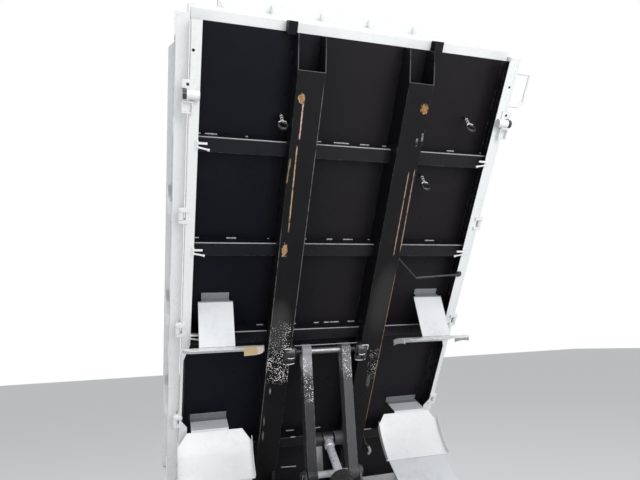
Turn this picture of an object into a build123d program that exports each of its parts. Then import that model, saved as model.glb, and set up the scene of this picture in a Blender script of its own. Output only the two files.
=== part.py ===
"""Tipping bed of a small dump truck, raised, with its hoist and the subframe that it tips on.

Units are millimetres. X points forward along the truck, Y to its left and Z up. The origin is
under the tipping hinge, on the centreline, where the subframe sits on the chassis. The bed is
drawn lying flat on the subframe and is then turned up about the hinge to its raised place.
"""

from build123d import *
from math import asin, atan2, cos, degrees, hypot, radians, sin
import os

# Tipping hinge
tilt_deg = 55.0
hinge_height = 95.0
hinge_pin_radius = 17.5
hinge_pin_head = 23.5
hinge_pin_end = 12.0
hinge_boss_radius = 42.0
hinge_ear_gap = 7.0
hinge_ear_thickness = 22.0
hinge_ear_front = 150.0
hinge_ear_rear = 120.0
hinge_bracket_gap = 10.0
hinge_bracket_thickness = 14.0
hinge_bracket_radius = 38.0
pin_play = 0.1
overcut = 1.0

# Bed, as it lies on the subframe
bed_front = 3000.0
bed_rear = -250.0
bed_half_width = 900.0
floor_underside = 336.0
floor_thickness = 4.5

# Folded side rails along both edges of the floor
rail_bottom = 234.0
rail_flange = 50.0
rail_wall = 4.0
rail_lip = 30.0
rail_hole_setback = 138.0
rail_hole_edge = 12.0
rail_hole_radius = 7.0
notch_half_length = 316.0
notch_slope = 110.0
notch_depth = 36.0

# Sills, the two long box beams under the floor
sill_inner = 235.0
sill_width = 147.0
sill_depth = 148.0
sill_wall = 4.5
sill_front_cut = 170.0
sill_front_depth = 84.0

# Stops beside the sills' front ends
stop_under_floor = 12.0
stop_reach = 52.0
stop_width = 48.0
stop_depth = 54.0
stop_gaps = {"left": 12.0, "right": 0.0}

# Cross bearers between the sills and the side rails
first_bearer = 552.0
bearer_pitch = 595.0
front_bearer_count = 3
rear_bearer_behind = 523.0
bearer_width = 80.0
bearer_depth = 70.0
bearer_wall = 3.2

# Beam and corner posts at the tail
tail_beam_width = 56.0
post_length = 60.0
post_top = 775.0
post_width = 86.0
post_wall = 4.0
hanger_inset = 20.0
hanger_thickness = 12.0
hanger_drop = 90.0
hanger_head = 28.0

# Headboard and the guard frame over it
wall_height = 380.0
headboard_sheet = 3.2
headboard_depth = 72.0
headboard_rail = 60.0
headboard_rib_depth = 44.0
headboard_rib_width = 90.0
headboard_rib_count = 5
headboard_foot_depth = 48.0
headboard_foot_height = 46.0
guard_height = 485.5
guard_lean = 144.0
guard_half_top = 700.0
guard_tube = 50.0
guard_wall = 3.0
guard_post_count = 5

# Side gates
gate_gap = 6.0
gate_sheet = 2.6
gate_frame_depth = 62.0
gate_rail_height = 64.0
gate_post_width = 76.0
gate_wall = 3.0
gate_rib_count = 7
gate_below_floor = 30.0
gate_front_reach = 22.0
gate_rear_clearance = 8.0
rub_rail_depth = 29.0
rub_rail_height = 56.0
rub_rail_setback = 158.0
rub_rail_bevel = 9.0
stiffener_depth = 22.0
stiffener_start = 42.0
stiffener_bevel = 18.0
rib_splay = 6.0

# Gate hinges on the outside of the side rails
gate_pin_radius = 8.0
gate_pin_offset = 25.0
gate_pin_rise = 4.0
gate_knuckle_radius = 13.0
gate_hinge_places = (2020.0, 1304.0, 625.0)
gate_hinge_length = 82.0
gate_hinge_cheek = 18.0
gate_knuckle_gap = 2.0
gate_strap_half = 9.0
hinge_seat = 18.0
hinge_seat_plate = 10.0
hinge_seat_rise = 40.0

# Keepers under the side rails and the left gate's handle
keeper_front = 272.0
keeper_plate_length = 48.0
keeper_thickness = 7.0
keeper_inner = 18.0
keeper_outer = 37.0
keeper_hole_radius = 7.0
keeper_barrel_setback = 70.0
keeper_barrel_radius = 24.0
keeper_barrel_inner = 48.0
keeper_barrel_outer = 34.0
keeper_box_front = 102.0
keeper_box_length = 60.0
keeper_box_height = 24.0
handle_setback = 60.0
handle_length = 190.0
handle_reach = 104.0
handle_radius = 7.0
handle_rise = 20.0
handle_bevel = 28.0

# Tailgate, hung from its top corners
tailgate_gap = 3.0
tailgate_depth = 50.0
tailgate_bottom = 262.0
tailgate_edge_gap = 4.0
tailgate_pivot_back = 18.0
tailgate_pivot_drop = 25.0
tailgate_pin_radius = 12.0
tailgate_arm_inset = 34.0
tailgate_arm_thickness = 16.0
tailgate_pin_reach = 42.0
tailgate_rib_count = 5
catch_place = 560.0
catch_thickness = 12.0
catch_jaw = 32.0
catch_drop = 12.0
catch_lip = 10.0
lower_pin_radius = 9.0
lower_pin_offset = 18.0
lower_pin_stem = 8.0

# Subframe
subframe_height = 150.0
subframe_outer = 343.0
subframe_flange = 70.0
subframe_wall = 6.0
subframe_front = 2940.0
subframe_rear = -55.0
rest_gap = 2.0
rest_rear = 110.0
rest_front = 2880.0
member_wall = 5.0
rear_member_back = 35.0
rear_member_front = 45.0
rear_member_height = 44.0
rear_member_floor = 11.0
low_member_top = 26.0
high_member_top = 120.0
link_member_width = 96.0
base_member_width = 100.0
high_member_width = 70.0
high_member_places = (2000.0, 2820.0)
shear_plate_places = (330.0, 2300.0)
shear_plate_half = 75.0
shear_plate_top = 104.0
shear_plate_bottom = -78.0
shear_plate_thickness = 8.0
shear_bolt_spread = 80.0
shear_bolt_height = -42.0
shear_bolt_radius = 8.5

# Hoist shaft across the sills
shaft_radius = 20.0
shaft_collar_radius = 30.0
shaft_collar_length = 44.0
shaft_plate = 10.0
shaft_plate_half = 64.0
shaft_plate_below = 24.0
shaft_plate_above = 54.0

# Lift arms
arm_top_x = 1126.0
arm_top_z = 212.0
arm_foot_x = 560.0
arm_foot_z = 340.0
arm_width = 60.0
arm_depth = 72.0
arm_spacing = 264.0
arm_wall = 6.0
arm_end_plate = 30.0
arm_eye_radius = 45.0
arm_low_height = 100.0
foot_shaft_end = 2.0
crosshead_along = 551.0
crosshead_back = 65.0
crosshead_radius = 43.0
crosshead_gap = 43.0
gusset_thickness = 14.0
gusset_rise = 190.0
gusset_fall = 150.0
gusset_bury = 10.0

# Tension link and its bracket
link_pivot_z = 72.0
link_depth = 72.0
link_waist = 52.0
link_plate = 14.0
link_gap = 6.0
link_collar_radius = 28.0
link_collar_length = 16.0
bracket_gap = 4.0
bracket_plate = 14.0
bracket_radius = 34.0
bracket_half_base = 46.0
bracket_shaft_end = 10.0

# Cylinder
cylinder_base_x = 1074.0
cylinder_base_z = 90.0
clevis_gap = 4.0
clevis_plate = 16.0
clevis_radius = 36.0
barrel_radius = 60.0
barrel_wall = 9.0
barrel_start = 58.0
barrel_end = 425.0
barrel_eye_radius = 38.0
barrel_eye_half = 36.0
barrel_neck_half_width = 28.0
barrel_neck_half_height = 30.0
gland_back = 32.0
gland_front = 10.0
gland_rise = 6.0
port_place = 70.0
port_radius = 15.0
port_reach = 18.0
rod_radius = 25.0
rod_inside = 330.0
piston_length = 40.0
piston_play = 0.3
rod_eye_radius = 40.0
rod_eye_half = 32.0
rod_neck_rise = 7.0
rod_neck_length = 40.0
rod_pin_radius = 22.0
rod_pin_end = 6.0

# Mudguards over the rear wheels
wheel_x = 885.0
wheel_z = -191.0
guard_radius = 480.0
guard_sheet = 3.0
guard_lip = 34.0
mudguard_sill_gap = 64.0
mudguard_overhang = 12.0
front_guard_bottom = -26.8
front_guard_top = 202.2
rear_guard_top = 176.7
rear_guard_bottom = -91.2
plan_corner_radius = 85.0
corner_cut = 60.0
front_stay_foot = 78.0
front_stay_ahead = 576.0
front_stay_notch = 20.0
front_stay_drop = 40.0
front_stay_inset = 101.0
front_stay_width = 205.0
rear_stay_foot = 160.8
rear_stay_inset = 85.0
rear_stay_width = 237.0
rear_stay_behind = 333.0
stay_wall = 4.0
stay_gap = 1.5
stay_bend_over = 8.0
stay_flange = 36.0
flap_length = 240.0
flap_thickness = 8.0
flap_overlap = 24.0
flap_sweep = 21.0
flap_gap = 1.0
flap_inset = 20.0
flap_outer_inset = 30.0

# Hooks and ties under the floor
rope_hook_setbacks = (590.0, 1186.0, 1739.0)
hook_plate_half = 24.0
hook_plate_thickness = 6.0
hook_plate_overlap = 14.0
hook_plate_edge = 2.0
hook_prong_radius = 6.5
hook_thin_radius = 5.0
hook_prong_reach = 46.0
hook_knob_radius = 7.0
hook_knob_length = 12.0
hook_spread = 10.0
shackle_radius = 25.0
shackle_bar = 6.5
shackle_lug_radius = 9.0
shackle_drop = 24.0
shackle_rod = 60.0
shackle_lean_deg = 30.0
shackle_sill_gap = 36.0
shackle_rear_gap = 105.0
shackle_edge_gap = 200.0
tie_radius = 8.0
tie_front = 1790.0
tie_bend_x = 1639.0
tie_bend_out = 166.0
tie_end_x = 1660.0
tie_foot_length = 34.0
tie_foot_width = 26.0
tie_foot_thickness = 5.0

# Worked out from the sizes above
floor_top = floor_underside + floor_thickness
rail_inner = bed_half_width - rail_flange
rail_web = bed_half_width - rail_wall
sill_outer = sill_inner + sill_width
sill_bottom = floor_underside - sill_depth
wall_top = floor_top + wall_height
guard_top = wall_top + guard_height
gate_inner = bed_half_width + gate_gap
gate_face = gate_inner + gate_frame_depth
gate_bottom = floor_underside - gate_below_floor
gate_front = bed_front + gate_front_reach
gate_rear = bed_rear + post_length + gate_rear_clearance
gate_pin_y = bed_half_width + gate_pin_offset
gate_pin_z = rail_bottom + gate_pin_rise
tailgate_front = bed_rear - tailgate_gap
tailgate_rear = tailgate_front - tailgate_depth
tailgate_pivot_x = bed_rear - tailgate_pivot_back
tailgate_pivot_z = post_top - tailgate_pivot_drop
rail_place = subframe_outer - subframe_wall
subframe_inner = subframe_outer - subframe_flange
hinge_ear_inner = sill_inner + hinge_ear_gap
arm_inner = (arm_spacing - arm_width) / 2
arm_outer = (arm_spacing + arm_width) / 2
mudguard_inner = sill_outer + mudguard_sill_gap
mudguard_outer = bed_half_width + mudguard_overhang
SIDES = {"left": 1, "right": -1}


def block(x0, x1, y0, y1, z0, z1):
    """A rectangular block between two opposite corners."""
    return Pos((x0 + x1) / 2, (y0 + y1) / 2, (z0 + z1) / 2) * Box(abs(x1 - x0), abs(y1 - y0), abs(z1 - z0))


def face_across(face, y0, y1):
    """A piece whose outline is a face drawn in X and Z, from y0 to y1 across the truck."""
    low, high = min(y0, y1), max(y0, y1)
    return extrude(Pos(0, low, 0) * (Plane.XZ * face), amount=high - low, dir=(0, 1, 0))


def across(outline, y0, y1):
    """A piece of constant outline, given as (x, z) points, from y0 to y1 across the truck."""
    return face_across(Polygon(*outline, align=None), y0, y1)


def along(outline, x0, x1):
    """A piece of constant outline, given as (y, z) points, from x0 to x1 along the truck."""
    face = Pos(x0, 0, 0) * (Plane.YZ * Polygon(*outline, align=None))
    return extrude(face, amount=x1 - x0, dir=(1, 0, 0))


def upright(outline, z0, z1):
    """A piece of constant outline, given as (x, y) points, from z0 up to z1."""
    return extrude(Pos(0, 0, z0) * Polygon(*outline, align=None), amount=z1 - z0, dir=(0, 0, 1))


def drum(x, z, radius, y0, y1):
    """A round piece lying across the truck, from y0 to y1."""
    return Pos(x, (y0 + y1) / 2, z) * Rot(90, 0, 0) * Cylinder(radius, abs(y1 - y0))


def bar(start, end, radius):
    """A round bar between two points."""
    way = Vector(*end) - Vector(*start)
    seat = Plane(origin=start, z_dir=way)
    return seat * Cylinder(radius, way.length, align=(Align.CENTER, Align.CENTER, Align.MIN))


def ball(point, radius):
    """A ball about a point."""
    return Pos(*point) * Sphere(radius)


def bar_ring(radius, bar_radius):
    """A flat-lying ring of six-sided bar."""
    section = Plane.XZ * (Pos(radius, 0) * RegularPolygon(bar_radius, 6))
    return revolve(section, Axis.Z)


def folded(path, wall):
    """Outline of a sheet folded along an open path, its thickness on the path's left."""
    normals = []
    for (u0, v0), (u1, v1) in zip(path, path[1:]):
        run = hypot(u1 - u0, v1 - v0)
        normals.append(((v0 - v1) / run, (u1 - u0) / run))
    inner = []
    for (u, v), before, after in zip(path, normals[:1] + normals, normals + normals[-1:]):
        reach = wall / (1 + before[0] * after[0] + before[1] * after[1])
        inner.append((u + reach * (before[0] + after[0]), v + reach * (before[1] + after[1])))
    return list(path) + inner[::-1]


def tube_along(y0, y1, z0, z1, wall, x0, x1):
    """A rectangular tube that runs along the truck, open at its ends."""
    return block(x0, x1, y0, y1, z0, z1) - block(x0, x1, y0 + wall, y1 - wall, z0 + wall, z1 - wall)


def tube_across(x0, x1, z0, z1, wall, y0, y1):
    """A rectangular tube that runs across the truck, open at its ends."""
    return block(x0, x1, y0, y1, z0, z1) - block(x0 + wall, x1 - wall, y0, y1, z0 + wall, z1 - wall)


def hat_rib(place, width, base, face, wall, low, high, lengthwise):
    """An upright hat rib that stands out from a sheet's face at base to an outer face."""
    path = [
        (place - width / 2 - rib_splay, base),
        (place - width / 2, face),
        (place + width / 2, face),
        (place + width / 2 + rib_splay, base),
    ]
    if not lengthwise:
        path = [(depth, spot) for spot, depth in path]
    outward = face > base
    if outward == lengthwise:
        path = path[::-1]
    return upright(folded(path, wall), low, high)


def round_ear(x, z, radius, base, half_base, y0, y1):
    """An upright ear, wide at its flat base and round about its pin hole."""
    body = across([(x - half_base, base), (x + half_base, base), (x + radius, z), (x - radius, z)], y0, y1)
    return body + drum(x, z, radius, y0, y1)


def mirrored(shape):
    """The same piece on the truck's right side."""
    return mirror(shape, about=Plane.XZ)


def on_side(shape, side):
    """A piece drawn on the left, moved to the named side."""
    return shape if SIDES[side] > 0 else mirrored(shape)


def raised(shape):
    """A piece of the bed, turned up about the tipping hinge."""
    return shape.rotate(Axis((0, 0, hinge_height), (0, -1, 0)), tilt_deg)


def raised_point(x, z):
    """Where a point of the lowered bed is when the bed is up."""
    swing = radians(tilt_deg)
    rise = z - hinge_height
    return x * cos(swing) - rise * sin(swing), x * sin(swing) + rise * cos(swing) + hinge_height


def save(name, *shapes):
    """Write one sub-part."""
    solids = [solid for shape in shapes for solid in shape.solids()]
    whole = solids[0] if len(solids) == 1 else Compound(children=solids)
    export_step(whole, f"parts/{name}.step")


def save_bed(name, *shapes):
    """Write a sub-part of the bed at its raised place."""
    save(name, *[raised(shape) for shape in shapes])


# Bed floor and frame


def floor_plate():
    """The flat steel floor."""
    return block(bed_rear, bed_front, -bed_half_width, bed_half_width, floor_underside, floor_top)


def wheel_notch():
    """The cut in a side rail's bottom flange over the rear wheels."""
    inner = rail_inner - overcut
    return upright(
        [
            (wheel_x - notch_half_length, inner),
            (wheel_x - notch_half_length + notch_slope / 2, rail_inner + notch_depth),
            (wheel_x + notch_half_length - notch_slope, rail_inner + notch_depth),
            (wheel_x + notch_half_length, inner),
        ],
        rail_bottom - overcut,
        rail_bottom + rail_wall + overcut,
    )


def side_rail():
    """A folded channel that edges the floor, open towards the middle of the bed."""
    path = [
        (bed_half_width - rail_lip, floor_underside),
        (bed_half_width, floor_underside),
        (bed_half_width, rail_bottom),
        (rail_inner, rail_bottom),
    ]
    rail = along(folded(path[::-1], rail_wall), bed_rear, bed_front) - wheel_notch()
    hole = Pos(bed_front - rail_hole_setback, bed_half_width - rail_hole_edge, rail_bottom + rail_wall / 2)
    return rail - hole * Cylinder(rail_hole_radius, rail_wall + 2 * overcut)


def sill():
    """A long beam folded to a trough, closed by the floor, its front end open below and tapered."""
    path = [
        (sill_inner, floor_underside),
        (sill_inner, sill_bottom),
        (sill_outer, sill_bottom),
        (sill_outer, floor_underside),
    ]
    beam = along(folded(path, sill_wall), bed_rear + tail_beam_width, bed_front)
    cut = bed_front - sill_front_cut
    beam -= block(
        cut, bed_front, sill_inner + sill_wall, sill_outer - sill_wall, sill_bottom, sill_bottom + sill_wall
    )
    slope = [
        (cut, sill_bottom),
        (cut, sill_bottom - overcut),
        (bed_front + overcut, sill_bottom - overcut),
        (bed_front + overcut, floor_underside - sill_front_depth),
    ]
    return beam - across(slope, sill_inner - overcut, sill_outer + overcut)


def front_stop(gap):
    """The short channel at a sill's outer face that stands out past the floor's front edge."""
    inner, outer = sill_outer + gap, sill_outer + gap + stop_width
    path = [
        (inner, floor_underside),
        (outer, floor_underside),
        (outer, floor_underside - stop_depth),
        (inner, floor_underside - stop_depth),
    ]
    return along(folded(path[::-1], sill_wall), bed_front - stop_under_floor, bed_front + stop_reach)


def bearer(front, y0, y1):
    """One length of cross bearer, folded to a trough and closed by the floor."""
    rear = front - bearer_width
    bottom = floor_underside - bearer_depth
    path = [(rear, floor_underside), (rear, bottom), (front, bottom), (front, floor_underside)]
    return across(folded(path, bearer_wall), y0, y1)


def bearer_fronts():
    """Where the cross bearers' front faces are, those ahead of the wheels and the one behind."""
    ahead = [bed_front - first_bearer - number * bearer_pitch for number in range(front_bearer_count)]
    return ahead + [wheel_x - rear_bearer_behind]


def cross_bearers():
    """Every length of cross bearer, between the sills and out to the side rails."""
    lengths = []
    for front in bearer_fronts():
        lengths.append(bearer(front, -sill_inner, sill_inner))
        outer = bearer(front, sill_outer, rail_web) - side_rail()
        lengths += [outer, mirrored(outer)]
    return lengths


def tail_beam():
    """The channel under the floor's rear edge, open towards the front."""
    front = bed_rear + tail_beam_width
    path = [
        (front, floor_underside),
        (bed_rear, floor_underside),
        (bed_rear, rail_bottom),
        (front, rail_bottom),
    ]
    return across(folded(path, rail_wall), -rail_inner, rail_inner)


def rear_post():
    """The hollow corner post that the tailgate hangs from."""
    front = bed_rear + post_length
    outer = bed_half_width + post_width
    shell = block(bed_rear, front, bed_half_width, outer, rail_bottom, post_top)
    inside = block(
        bed_rear + post_wall, front - post_wall,
        bed_half_width + post_wall, outer - post_wall,
        rail_bottom, post_top - post_wall,
    )
    return shell - inside


def hanger():
    """The ear at a post's top that carries the tailgate's pin."""
    inner = bed_half_width + hanger_inset
    outer = inner + hanger_thickness
    plate = across(
        [
            (bed_rear, post_top - hanger_drop),
            (bed_rear, post_top),
            (tailgate_pivot_x, tailgate_pivot_z + hanger_head),
            (tailgate_pivot_x - hanger_head, tailgate_pivot_z),
        ],
        inner,
        outer,
    )
    plate += drum(tailgate_pivot_x, tailgate_pivot_z, hanger_head, inner, outer)
    low, high = tailgate_pivot_z - hanger_drop, post_top + overcut
    plate -= block(bed_rear, bed_rear + hanger_head, inner, outer, low, high)
    bore = tailgate_pin_radius + pin_play
    return plate - drum(tailgate_pivot_x, tailgate_pivot_z, bore, inner - overcut, outer + overcut)


# Headboard


def headboard():
    """The bed's front wall, a sheet with hat ribs between a foot rail and a top rail."""
    wall = block(bed_front - headboard_sheet, bed_front, -bed_half_width, bed_half_width, floor_top, wall_top)
    edge = bed_half_width - headboard_rib_width
    for number in range(headboard_rib_count):
        place = -edge + 2 * edge * number / (headboard_rib_count - 1)
        wall += hat_rib(
            place, headboard_rib_width, bed_front, bed_front + headboard_rib_depth,
            headboard_sheet, floor_top, wall_top - headboard_rail, False,
        )
    foot = [
        (bed_front, floor_top),
        (bed_front + headboard_foot_depth, floor_top),
        (bed_front + headboard_foot_depth, floor_top + headboard_foot_height),
        (bed_front, floor_top + headboard_foot_height + rib_splay),
    ]
    top = [
        (bed_front, wall_top - headboard_rail - rib_splay),
        (bed_front + headboard_depth, wall_top - headboard_rail),
        (bed_front + headboard_depth, wall_top),
        (bed_front, wall_top),
    ]
    for path in (foot, top):
        wall += across(folded(path, headboard_sheet), -bed_half_width, bed_half_width)
    return wall


def guard_point(height):
    """How far forward the guard frame stands at a height above the headboard."""
    share = (height - wall_top) / guard_height
    base = bed_front + headboard_depth - guard_tube
    return base + share * (bed_front + guard_lean - guard_tube - base)


def guard_post(place, side_wall, end_wall):
    """A leaning upright of the guard, or the hollow inside it."""
    low, high = wall_top + end_wall, guard_top - guard_tube
    outline = [
        (guard_point(low) + side_wall, low),
        (guard_point(low) + guard_tube - side_wall, low),
        (guard_point(high) + guard_tube - side_wall, high),
        (guard_point(high) + side_wall, high),
    ]
    half = guard_tube / 2 - side_wall
    return across(outline, place - half, place + half)


def guard_frame():
    """The leaning guard over the headboard: a sheet behind square posts and a top rail."""
    low, high = wall_top, guard_top - guard_tube
    frame = across(
        [
            (guard_point(low) - guard_wall, low),
            (guard_point(low), low),
            (guard_point(high), high),
            (guard_point(high), guard_top),
            (guard_point(high) - guard_wall, guard_top),
            (guard_point(high) - guard_wall, high),
        ],
        -guard_half_top,
        guard_half_top,
    )
    edge = guard_half_top - guard_tube / 2
    for number in range(guard_post_count):
        place = -edge + 2 * edge * number / (guard_post_count - 1)
        frame += guard_post(place, 0, 0) - guard_post(place, guard_wall, guard_wall)
    rail_x = guard_point(high)
    frame += tube_across(
        rail_x, rail_x + guard_tube, high, guard_top, guard_wall, -guard_half_top, guard_half_top
    )
    return frame


# Side gates


def rub_rail():
    """The moulding along a gate's top rail, its front end cut back on a slope."""
    low, high = wall_top - rub_rail_height, wall_top
    front = gate_front - rub_rail_setback
    face = gate_face + rub_rail_depth
    path = [
        (gate_face, low),
        (face, low + rub_rail_bevel),
        (face, high - rub_rail_bevel),
        (gate_face, high),
    ]
    moulding = along(folded(path, gate_wall), gate_rear, front)
    slope = upright(
        [
            (front, gate_face),
            (front + overcut, gate_face),
            (front + overcut, face + overcut),
            (front - rub_rail_depth, face + overcut),
            (front - rub_rail_depth, face),
        ],
        low - overcut,
        high + overcut,
    )
    return moulding - slope


def gate_stiffener(place):
    """The folded strap over a gate's outer face, in line with a hinge."""
    low, high = gate_bottom + stiffener_start, wall_top - rub_rail_height
    face = gate_face + stiffener_depth
    path = [
        (gate_face, low),
        (face, low + stiffener_bevel),
        (face, high),
        (gate_face, high),
    ]
    return along(folded(path, gate_wall), place - gate_post_width / 2, place + gate_post_width / 2)


def gate_knuckle(place):
    """The gate's half of a hinge: a strap down from the bottom rail and the ring round the pin."""
    half = gate_hinge_length / 2 - gate_hinge_cheek - gate_knuckle_gap
    start, end = place - half, place + half
    seat = Pos(place, gate_pin_y, gate_pin_z) * Rot(0, 90, 0)
    strap = block(
        start, end, gate_pin_y - gate_strap_half, gate_pin_y + gate_strap_half, gate_pin_z, gate_bottom
    )
    ring = seat * Cylinder(gate_knuckle_radius, end - start)
    return strap + ring - seat * Cylinder(gate_pin_radius + pin_play, gate_hinge_length)


def gate():
    """A drop side: a sheet framed by box rails, with hat ribs, a rub rail, straps and knuckles."""
    low, high = gate_bottom, wall_top
    body = block(gate_rear, gate_front, gate_inner, gate_inner + gate_sheet, low, high)
    for bottom in (low, high - gate_rail_height):
        body += tube_along(
            gate_inner, gate_face, bottom, bottom + gate_rail_height, gate_wall, gate_rear, gate_front
        )
    rib_low, rib_high = low + gate_rail_height, high - gate_rail_height
    span = gate_front - gate_rear - 2 * gate_post_width
    for number in range(gate_rib_count):
        place = gate_rear + gate_post_width + span * number / (gate_rib_count - 1)
        body += hat_rib(
            place, gate_post_width, gate_inner + gate_sheet, gate_face, gate_wall, rib_low, rib_high, True
        )
    body += rub_rail()
    for place in gate_hinge_places:
        body += gate_stiffener(place) + gate_knuckle(place)
    return body


def hinge_cheek(start):
    """One ear of a gate hinge, round about the pin and seated on the rail's corner."""
    body = along(
        [
            (bed_half_width - hinge_seat, rail_bottom),
            (bed_half_width - hinge_seat, rail_bottom - hinge_seat_plate),
            (gate_pin_y, gate_pin_z - gate_knuckle_radius),
            (gate_pin_y + gate_knuckle_radius, gate_pin_z),
            (bed_half_width, rail_bottom + hinge_seat_rise),
            (bed_half_width, rail_bottom),
        ],
        start,
        start + gate_hinge_cheek,
    )
    ring = Pos(start + gate_hinge_cheek / 2, gate_pin_y, gate_pin_z) * Rot(0, 90, 0)
    return body + ring * Cylinder(gate_knuckle_radius, gate_hinge_cheek)


def gate_hinge_lugs():
    """The bed's half of the gate hinges, with the pin fixed in it."""
    pieces = []
    for place in gate_hinge_places:
        seat = Pos(place, gate_pin_y, gate_pin_z) * Rot(0, 90, 0)
        pin = seat * Cylinder(gate_pin_radius, gate_hinge_length)
        rear = hinge_cheek(place - gate_hinge_length / 2)
        front = hinge_cheek(place + gate_hinge_length / 2 - gate_hinge_cheek)
        pieces.append(pin + rear + front)
    return pieces


# Tailgate


def tailgate():
    """The rear wall, a framed sheet hung from its top corners."""
    half = bed_half_width - tailgate_edge_gap
    sheet_face = tailgate_front - gate_sheet
    wall = block(sheet_face, tailgate_front, -half, half, tailgate_bottom, wall_top)
    for bottom in (tailgate_bottom, wall_top - gate_rail_height):
        wall += tube_across(
            tailgate_rear, tailgate_front, bottom, bottom + gate_rail_height, gate_wall, -half, half
        )
    rib_low, rib_high = tailgate_bottom + gate_rail_height, wall_top - gate_rail_height
    span = 2 * half - 2 * gate_post_width
    for number in range(tailgate_rib_count):
        place = -half + gate_post_width + span * number / (tailgate_rib_count - 1)
        wall += hat_rib(place, gate_post_width, sheet_face, tailgate_rear, gate_wall, rib_low, rib_high, False)
    return wall


def tailgate_arm():
    """The plate at a top corner of the tailgate, with the pin that hangs in the post's ear."""
    inner = bed_half_width - tailgate_arm_inset
    outer = inner + tailgate_arm_thickness
    head = 2 * tailgate_pin_radius
    plate = across(
        [
            (tailgate_rear + gate_wall, wall_top),
            (tailgate_front, wall_top),
            (tailgate_pivot_x + head, tailgate_pivot_z),
            (tailgate_pivot_x - head, tailgate_pivot_z),
        ],
        inner,
        outer,
    )
    plate += drum(tailgate_pivot_x, tailgate_pivot_z, head, inner, outer)
    return plate + drum(
        tailgate_pivot_x, tailgate_pivot_z, tailgate_pin_radius, inner, bed_half_width + tailgate_pin_reach
    )


def tailgate_catch():
    """The fork under the tail beam that the tailgate's lower pin shuts into."""
    front = bed_rear + tail_beam_width - rail_wall
    tip = tailgate_rear + rail_wall
    jaw_front = tailgate_front - tailgate_depth / 2 + catch_jaw / 2
    jaw_top = rail_bottom - catch_drop
    jaw_bottom = jaw_top - catch_jaw
    outline = [
        (front, rail_bottom),
        (bed_rear, rail_bottom),
        (tip, rail_bottom - rail_wall),
        (tip, jaw_top),
        (jaw_front, jaw_top),
        (jaw_front, jaw_bottom),
        (tip, jaw_bottom),
        (tip, jaw_bottom - catch_lip),
        (front - catch_jaw / 2, jaw_bottom - catch_lip),
    ]
    return across(outline, catch_place, catch_place + catch_thickness)


def tailgate_lower_pin():
    """The pin under the tailgate that its catch holds."""
    x = tailgate_front - tailgate_depth / 2
    z = rail_bottom - catch_drop - catch_jaw / 2
    inner = catch_place + lower_pin_offset
    stem = block(
        x - lower_pin_stem, x + lower_pin_stem, inner, inner + lower_pin_stem,
        z - lower_pin_radius, tailgate_bottom,
    )
    return stem + drum(x, z, lower_pin_radius, catch_place - lower_pin_stem, inner + lower_pin_stem)


# Subframe


def subframe_rail():
    """A channel that lies on the chassis, open towards the middle."""
    path = [
        (subframe_inner, 0),
        (subframe_outer, 0),
        (subframe_outer, subframe_height),
        (subframe_inner, subframe_height),
    ]
    rail = along(folded(path, subframe_wall), subframe_rear, subframe_front)
    return rail - drum(0, hinge_height, hinge_pin_radius, rail_place - overcut, subframe_outer + overcut)


def rest_strip():
    """The hard strip on a subframe rail that the lowered sill rests on."""
    return block(
        rest_rear, rest_front, subframe_inner, subframe_outer, subframe_height, sill_bottom - rest_gap
    )


def rear_crossmember():
    """The hollow member below the hinge, its underside flush with the chassis seat."""
    member = block(-rear_member_back, rear_member_front, -subframe_inner, subframe_inner, 0, rear_member_height)
    for sign in (1, -1):
        member += block(
            -rear_member_back, rear_member_front, sign * subframe_inner, sign * rail_place,
            subframe_wall, rear_member_height,
        )
    return member - block(
        member_wall - rear_member_back, rear_member_front - member_wall, -rail_place, rail_place,
        rear_member_floor, rear_member_height - member_wall,
    )


def crossmembers():
    """The members between the subframe rails."""
    members = [rear_crossmember()]
    places = [
        (link_pivot_x, link_member_width, low_member_top),
        (cylinder_base_x, base_member_width, low_member_top),
    ]
    places += [(place, high_member_width, high_member_top) for place in high_member_places]
    for place, width, top in places:
        path = [
            (place - width / 2, subframe_wall),
            (place - width / 2, top),
            (place + width / 2, top),
            (place + width / 2, subframe_wall),
        ]
        members.append(across(folded(path[::-1], member_wall), -rail_place, rail_place))
    return members


def hinge_bracket():
    """The inner plate that carries a hinge pin, standing on the rear crossmember."""
    outer = hinge_ear_inner - hinge_bracket_gap
    inner = outer - hinge_bracket_thickness
    plate = round_ear(
        0, hinge_height, hinge_bracket_radius, rear_member_height, rear_member_back, inner, outer
    )
    return plate - drum(0, hinge_height, hinge_pin_radius, inner - overcut, outer + overcut)


def hinge_pin():
    """A tipping hinge pin, held in the bracket and the rail's web."""
    inner = hinge_ear_inner - hinge_bracket_gap - hinge_bracket_thickness - hinge_pin_end / 2
    pin = drum(0, hinge_height, hinge_pin_radius, inner, subframe_outer + hinge_pin_end)
    return pin + drum(0, hinge_height, hinge_pin_head, subframe_outer, subframe_outer + subframe_wall)


def hinge_ear():
    """The bed's hinge ear, hung from a sill, with its round boss about the pin."""
    inner, outer = hinge_ear_inner, hinge_ear_inner + hinge_ear_thickness
    ear = across(
        [
            (-hinge_ear_rear, sill_bottom),
            (hinge_ear_front, sill_bottom),
            (hinge_boss_radius, hinge_height),
            (-hinge_boss_radius, hinge_height),
        ],
        inner,
        outer,
    )
    ear += drum(0, hinge_height, hinge_boss_radius, inner, outer)
    return ear - drum(0, hinge_height, hinge_pin_radius + pin_play, inner - overcut, outer + overcut)


def shear_plate(place):
    """A plate on a rail's outer face, drilled for the bolts into the chassis."""
    outer = subframe_outer + shear_plate_thickness
    plate = block(
        place - shear_plate_half, place + shear_plate_half, subframe_outer, outer,
        shear_plate_bottom, shear_plate_top,
    )
    for x in (place - shear_bolt_spread / 2, place + shear_bolt_spread / 2):
        plate -= drum(x, shear_bolt_height, shear_bolt_radius, subframe_outer - overcut, outer + overcut)
    return plate


# Hoist linkage, all in the plane of X and Z

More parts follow.
